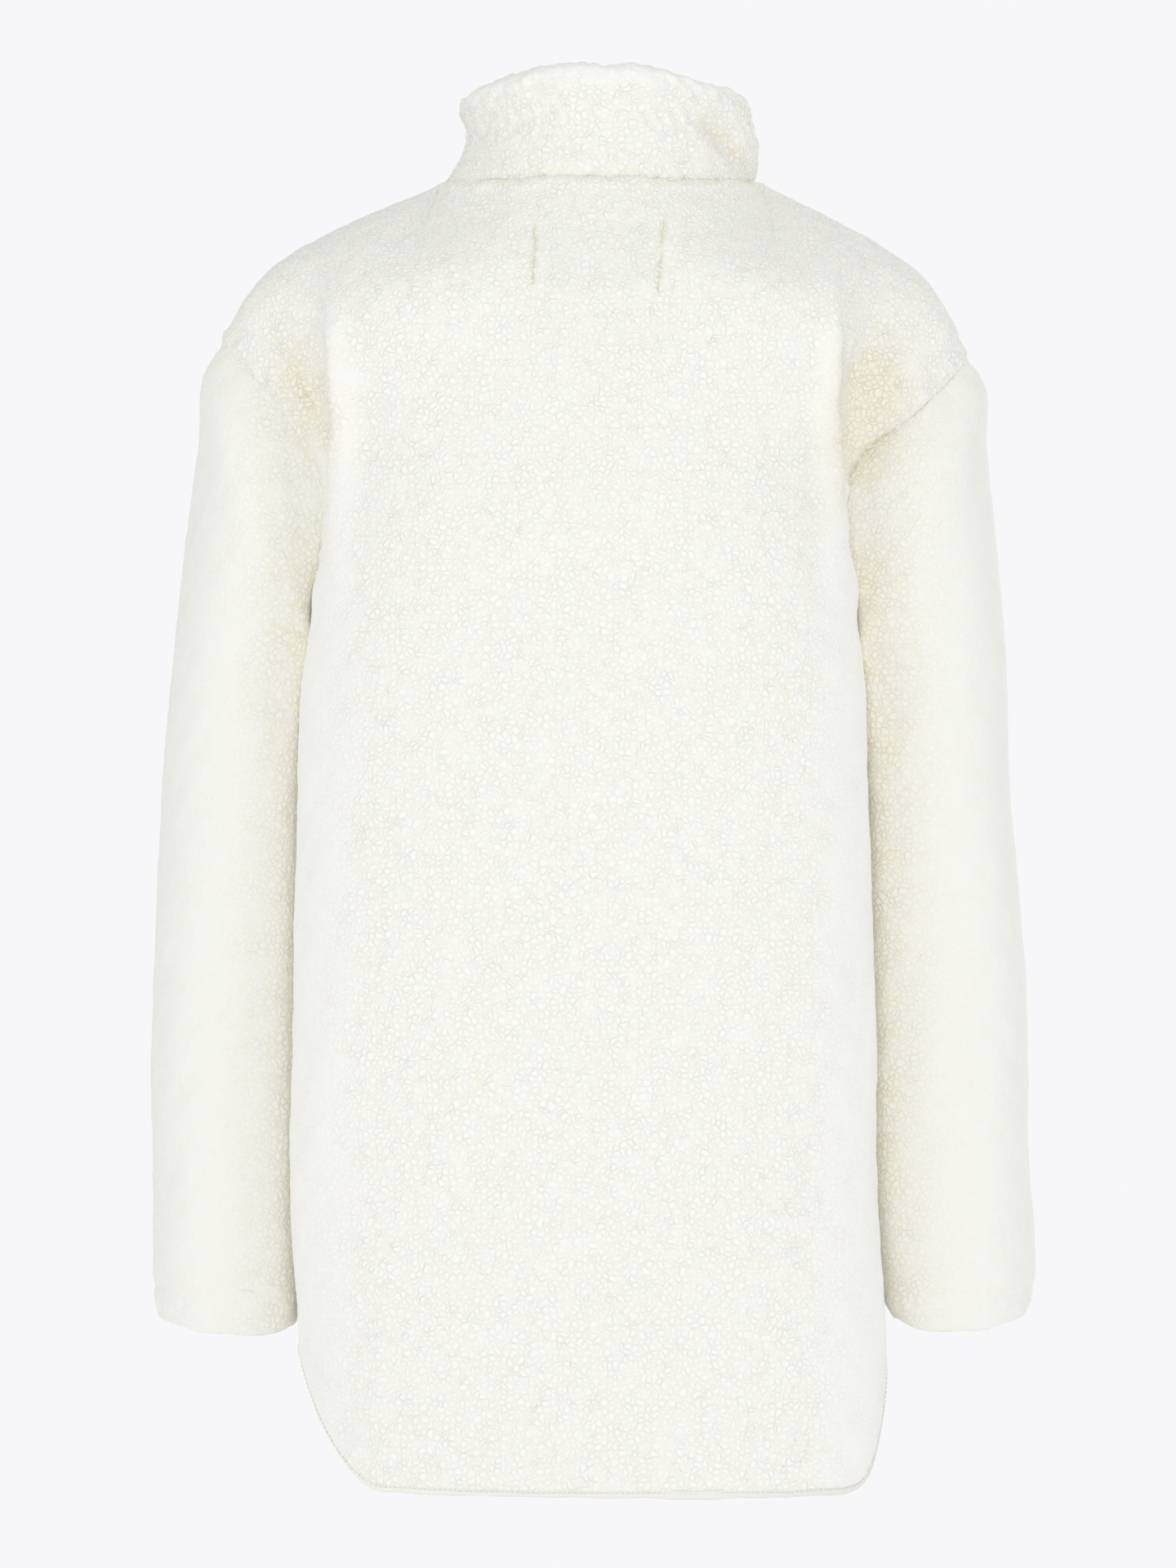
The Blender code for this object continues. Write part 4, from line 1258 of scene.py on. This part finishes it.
def nearest_on(name, x, z):
    """The point of a panel's skin seen at x and z, and its direction."""
    points, out = skins[name].reshape(-1, 3), normals[name].reshape(-1, 3)
    shown = np.where(out[:, 1] < -0.2, np.hypot(points[:, 0] - x, points[:, 2] - z), 999)
    order = np.argsort(shown)[:4]
    weight = 1 / (shown[order] + 0.2)
    weight = (weight / weight.sum())[:, None]
    return (points[order] * weight).sum(axis=0), unit((out[order] * weight).sum(axis=0))


label_rows = []
for (x0, z0), (x1, z1) in LABEL_STITCHES:
    found = [nearest_on("back", x0 + (x1 - x0) * s, z0 + (z1 - z0) * s) for s in np.linspace(0, 1, 24)]
    line = np.array([point - 0.9 * out for point, out in found])
    label_rows.append(stitch_row(line, np.array([out for _, out in found]), 2.4, 1.0, 0.55))
label_stitches = stitch_piece("label_stitches", label_rows)

hem_line = skins["hem_binding"][-1]
hem_out = normals["hem_binding"][-1]
hem_line = np.concatenate([hem_line, hem_line[:1]]) - np.array([0, 0, 1.3])
hem_out = np.concatenate([hem_out, hem_out[:1]])
hem_stitches = stitch_piece("hem_stitches", [stitch_row(hem_line - 0.1 * hem_out, hem_out, 2.2, 0.9, 0.5)])

# %% [markdown]
# ## What each piece is
# Every piece stands for a wall of the imported model, moves with its one body, and takes its finish
# from one of the two material slots. The size each piece of cloth is cut to before it is sewn is
# printed: the width and length that the smooth skin measures, and its area.
# %% Attaching the pieces and measuring their cloth
def cut_of(name):
    """Width, length and area of a piece of cloth laid flat, in metres."""
    closed = GRIDS[name][2]
    points = skins[name] * MM
    ring = np.concatenate([points, points[:, :1]], axis=1) if closed else points
    widths = np.linalg.norm(np.diff(ring, axis=1), axis=-1).sum(axis=1)
    lengths = np.linalg.norm(np.diff(ring, axis=0), axis=-1).sum(axis=0)
    sides = np.cross(ring[1:, 1:] - ring[:-1, :-1], ring[1:, :-1] - ring[:-1, 1:])
    area = np.linalg.norm(sides, axis=-1).sum() / 2
    return round(float(widths.max()), 3), round(float(lengths.max()), 3), round(float(area), 4)


TAPE_CUT = round((2 * TAPE_HEIGHT - TAPE_WALL + np.pi * (TAPE_WALL / 2 - TAPE_INSET)) * MM, 4)
for name, piece in pieces.items():
    width, length, area = cut_of(name)
    if name == "hem_binding":
        length = TAPE_CUT
        area = width * length
    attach(piece, "root")
    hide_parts(name)
    print(name, "is cut from", width, "by", length, "m, area", area, "square metres")
for piece in (label_stitches, hem_stitches):
    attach(piece, "root")

# %% [markdown]
# ## Light and ground
# The pullover was shown on plain near-white ground, lit so softly that it has hardly a shadow. So the
# world is that near-white to the camera, and a dimmer soft light to the cloth. A wide lamp
# stands over the camera and one at each side, and the floor is pale and fades into the ground away from the hem.
# %% Ground
GROUND = (0.930, 0.930, 0.947, 1)
AMBIENT = 0.56

world = bpy.data.worlds.new("soft white")
world.use_nodes = True
bpy.context.scene.world = world
tree = world.node_tree
tree.nodes.clear()
seen = node(tree, "ShaderNodeBackground", {"Color": GROUND, "Strength": 1.0})
felt = node(tree, "ShaderNodeBackground", {"Color": (1, 1, 1, 1), "Strength": AMBIENT})
path = node(tree, "ShaderNodeLightPath")
mixed = node(tree, "ShaderNodeMixShader", {0: path.outputs["Is Camera Ray"], 1: felt.outputs[0], 2: seen.outputs[0]})
node(tree, "ShaderNodeOutputWorld", {"Surface": mixed.outputs[0]})

bpy.context.scene.view_settings.view_transform = "Standard"
bpy.context.scene.view_settings.look = "None"

FLOOR_HEIGHT = -0.93
FLOOR_REACH = 4.0
floor_mesh = bpy.data.meshes.new("floor")
corners = [(-FLOOR_REACH, -FLOOR_REACH), (FLOOR_REACH, -FLOOR_REACH), (FLOOR_REACH, FLOOR_REACH), (-FLOOR_REACH, FLOOR_REACH)]
floor_mesh.from_pydata([(x, y, FLOOR_HEIGHT) for x, y in corners], [], [(0, 1, 2, 3)])
floor = bpy.data.objects.new("floor", floor_mesh)
bpy.context.scene.collection.objects.link(floor)
floor_paint = bpy.data.materials.new("pale_floor")
floor_paint.use_nodes = True
tree = floor_paint.node_tree
tree.nodes.clear()
place = node(tree, "ShaderNodeTexCoord").outputs["Object"]
flat_place = vectors(tree, "MULTIPLY", place, (1, 1, 0))
far = node(tree, "ShaderNodeVectorMath", {0: flat_place}, operation="LENGTH").outputs["Value"]
glow = node(tree, "ShaderNodeEmission", {"Color": GROUND, "Strength": 1.0})
paint = node(tree, "ShaderNodeBsdfDiffuse", {"Color": (0.95, 0.95, 0.96, 1)})
mixed = node(tree, "ShaderNodeMixShader", {0: fade_in(tree, far, 0.12, 0.45, 0.5, 1.0), 1: paint.outputs[0], 2: glow.outputs[0]})
node(tree, "ShaderNodeOutputMaterial", {"Surface": mixed.outputs[0]})
floor_mesh.materials.append(floor_paint)


# %% Lamps
def lamp(name, place, aim, size, power_watts, colour):
    """A wide, soft, square lamp that looks at a point."""
    light = bpy.data.lights.new(name, "AREA")
    light.size = size
    light.energy = power_watts
    light.color = colour
    made = bpy.data.objects.new(name, light)
    made.location = place
    made.visible_camera = False
    made.rotation_euler = (Vector(aim) - Vector(place)).to_track_quat("-Z", "Y").to_euler()
    bpy.context.scene.collection.objects.link(made)
    return made


lamp("key", (-0.2, -3.5, 0.55), (0, 0, -0.35), 1.4, 21.5, (1.0, 1.0, 1.0))
lamp("left_side", (-2.6, -2.2, 0.2), (0, 0, -0.35), 1.6, 13, (1.0, 1.0, 1.0))
lamp("right_side", (2.6, -2.2, 0.2), (0, 0, -0.35), 1.6, 15, (1.0, 1.0, 1.0))
lamp("overhead", (0.0, -0.7, 2.3), (0, 0, -0.2), 1.8, 5, (1.0, 1.0, 1.0))
lamp("front_fill", (1.4, 3.1, 0.8), (0, 0, -0.35), 2.0, 26, (1.0, 1.0, 1.0))
print("lamps: a key above the camera, one at each side and a fill on the far side")
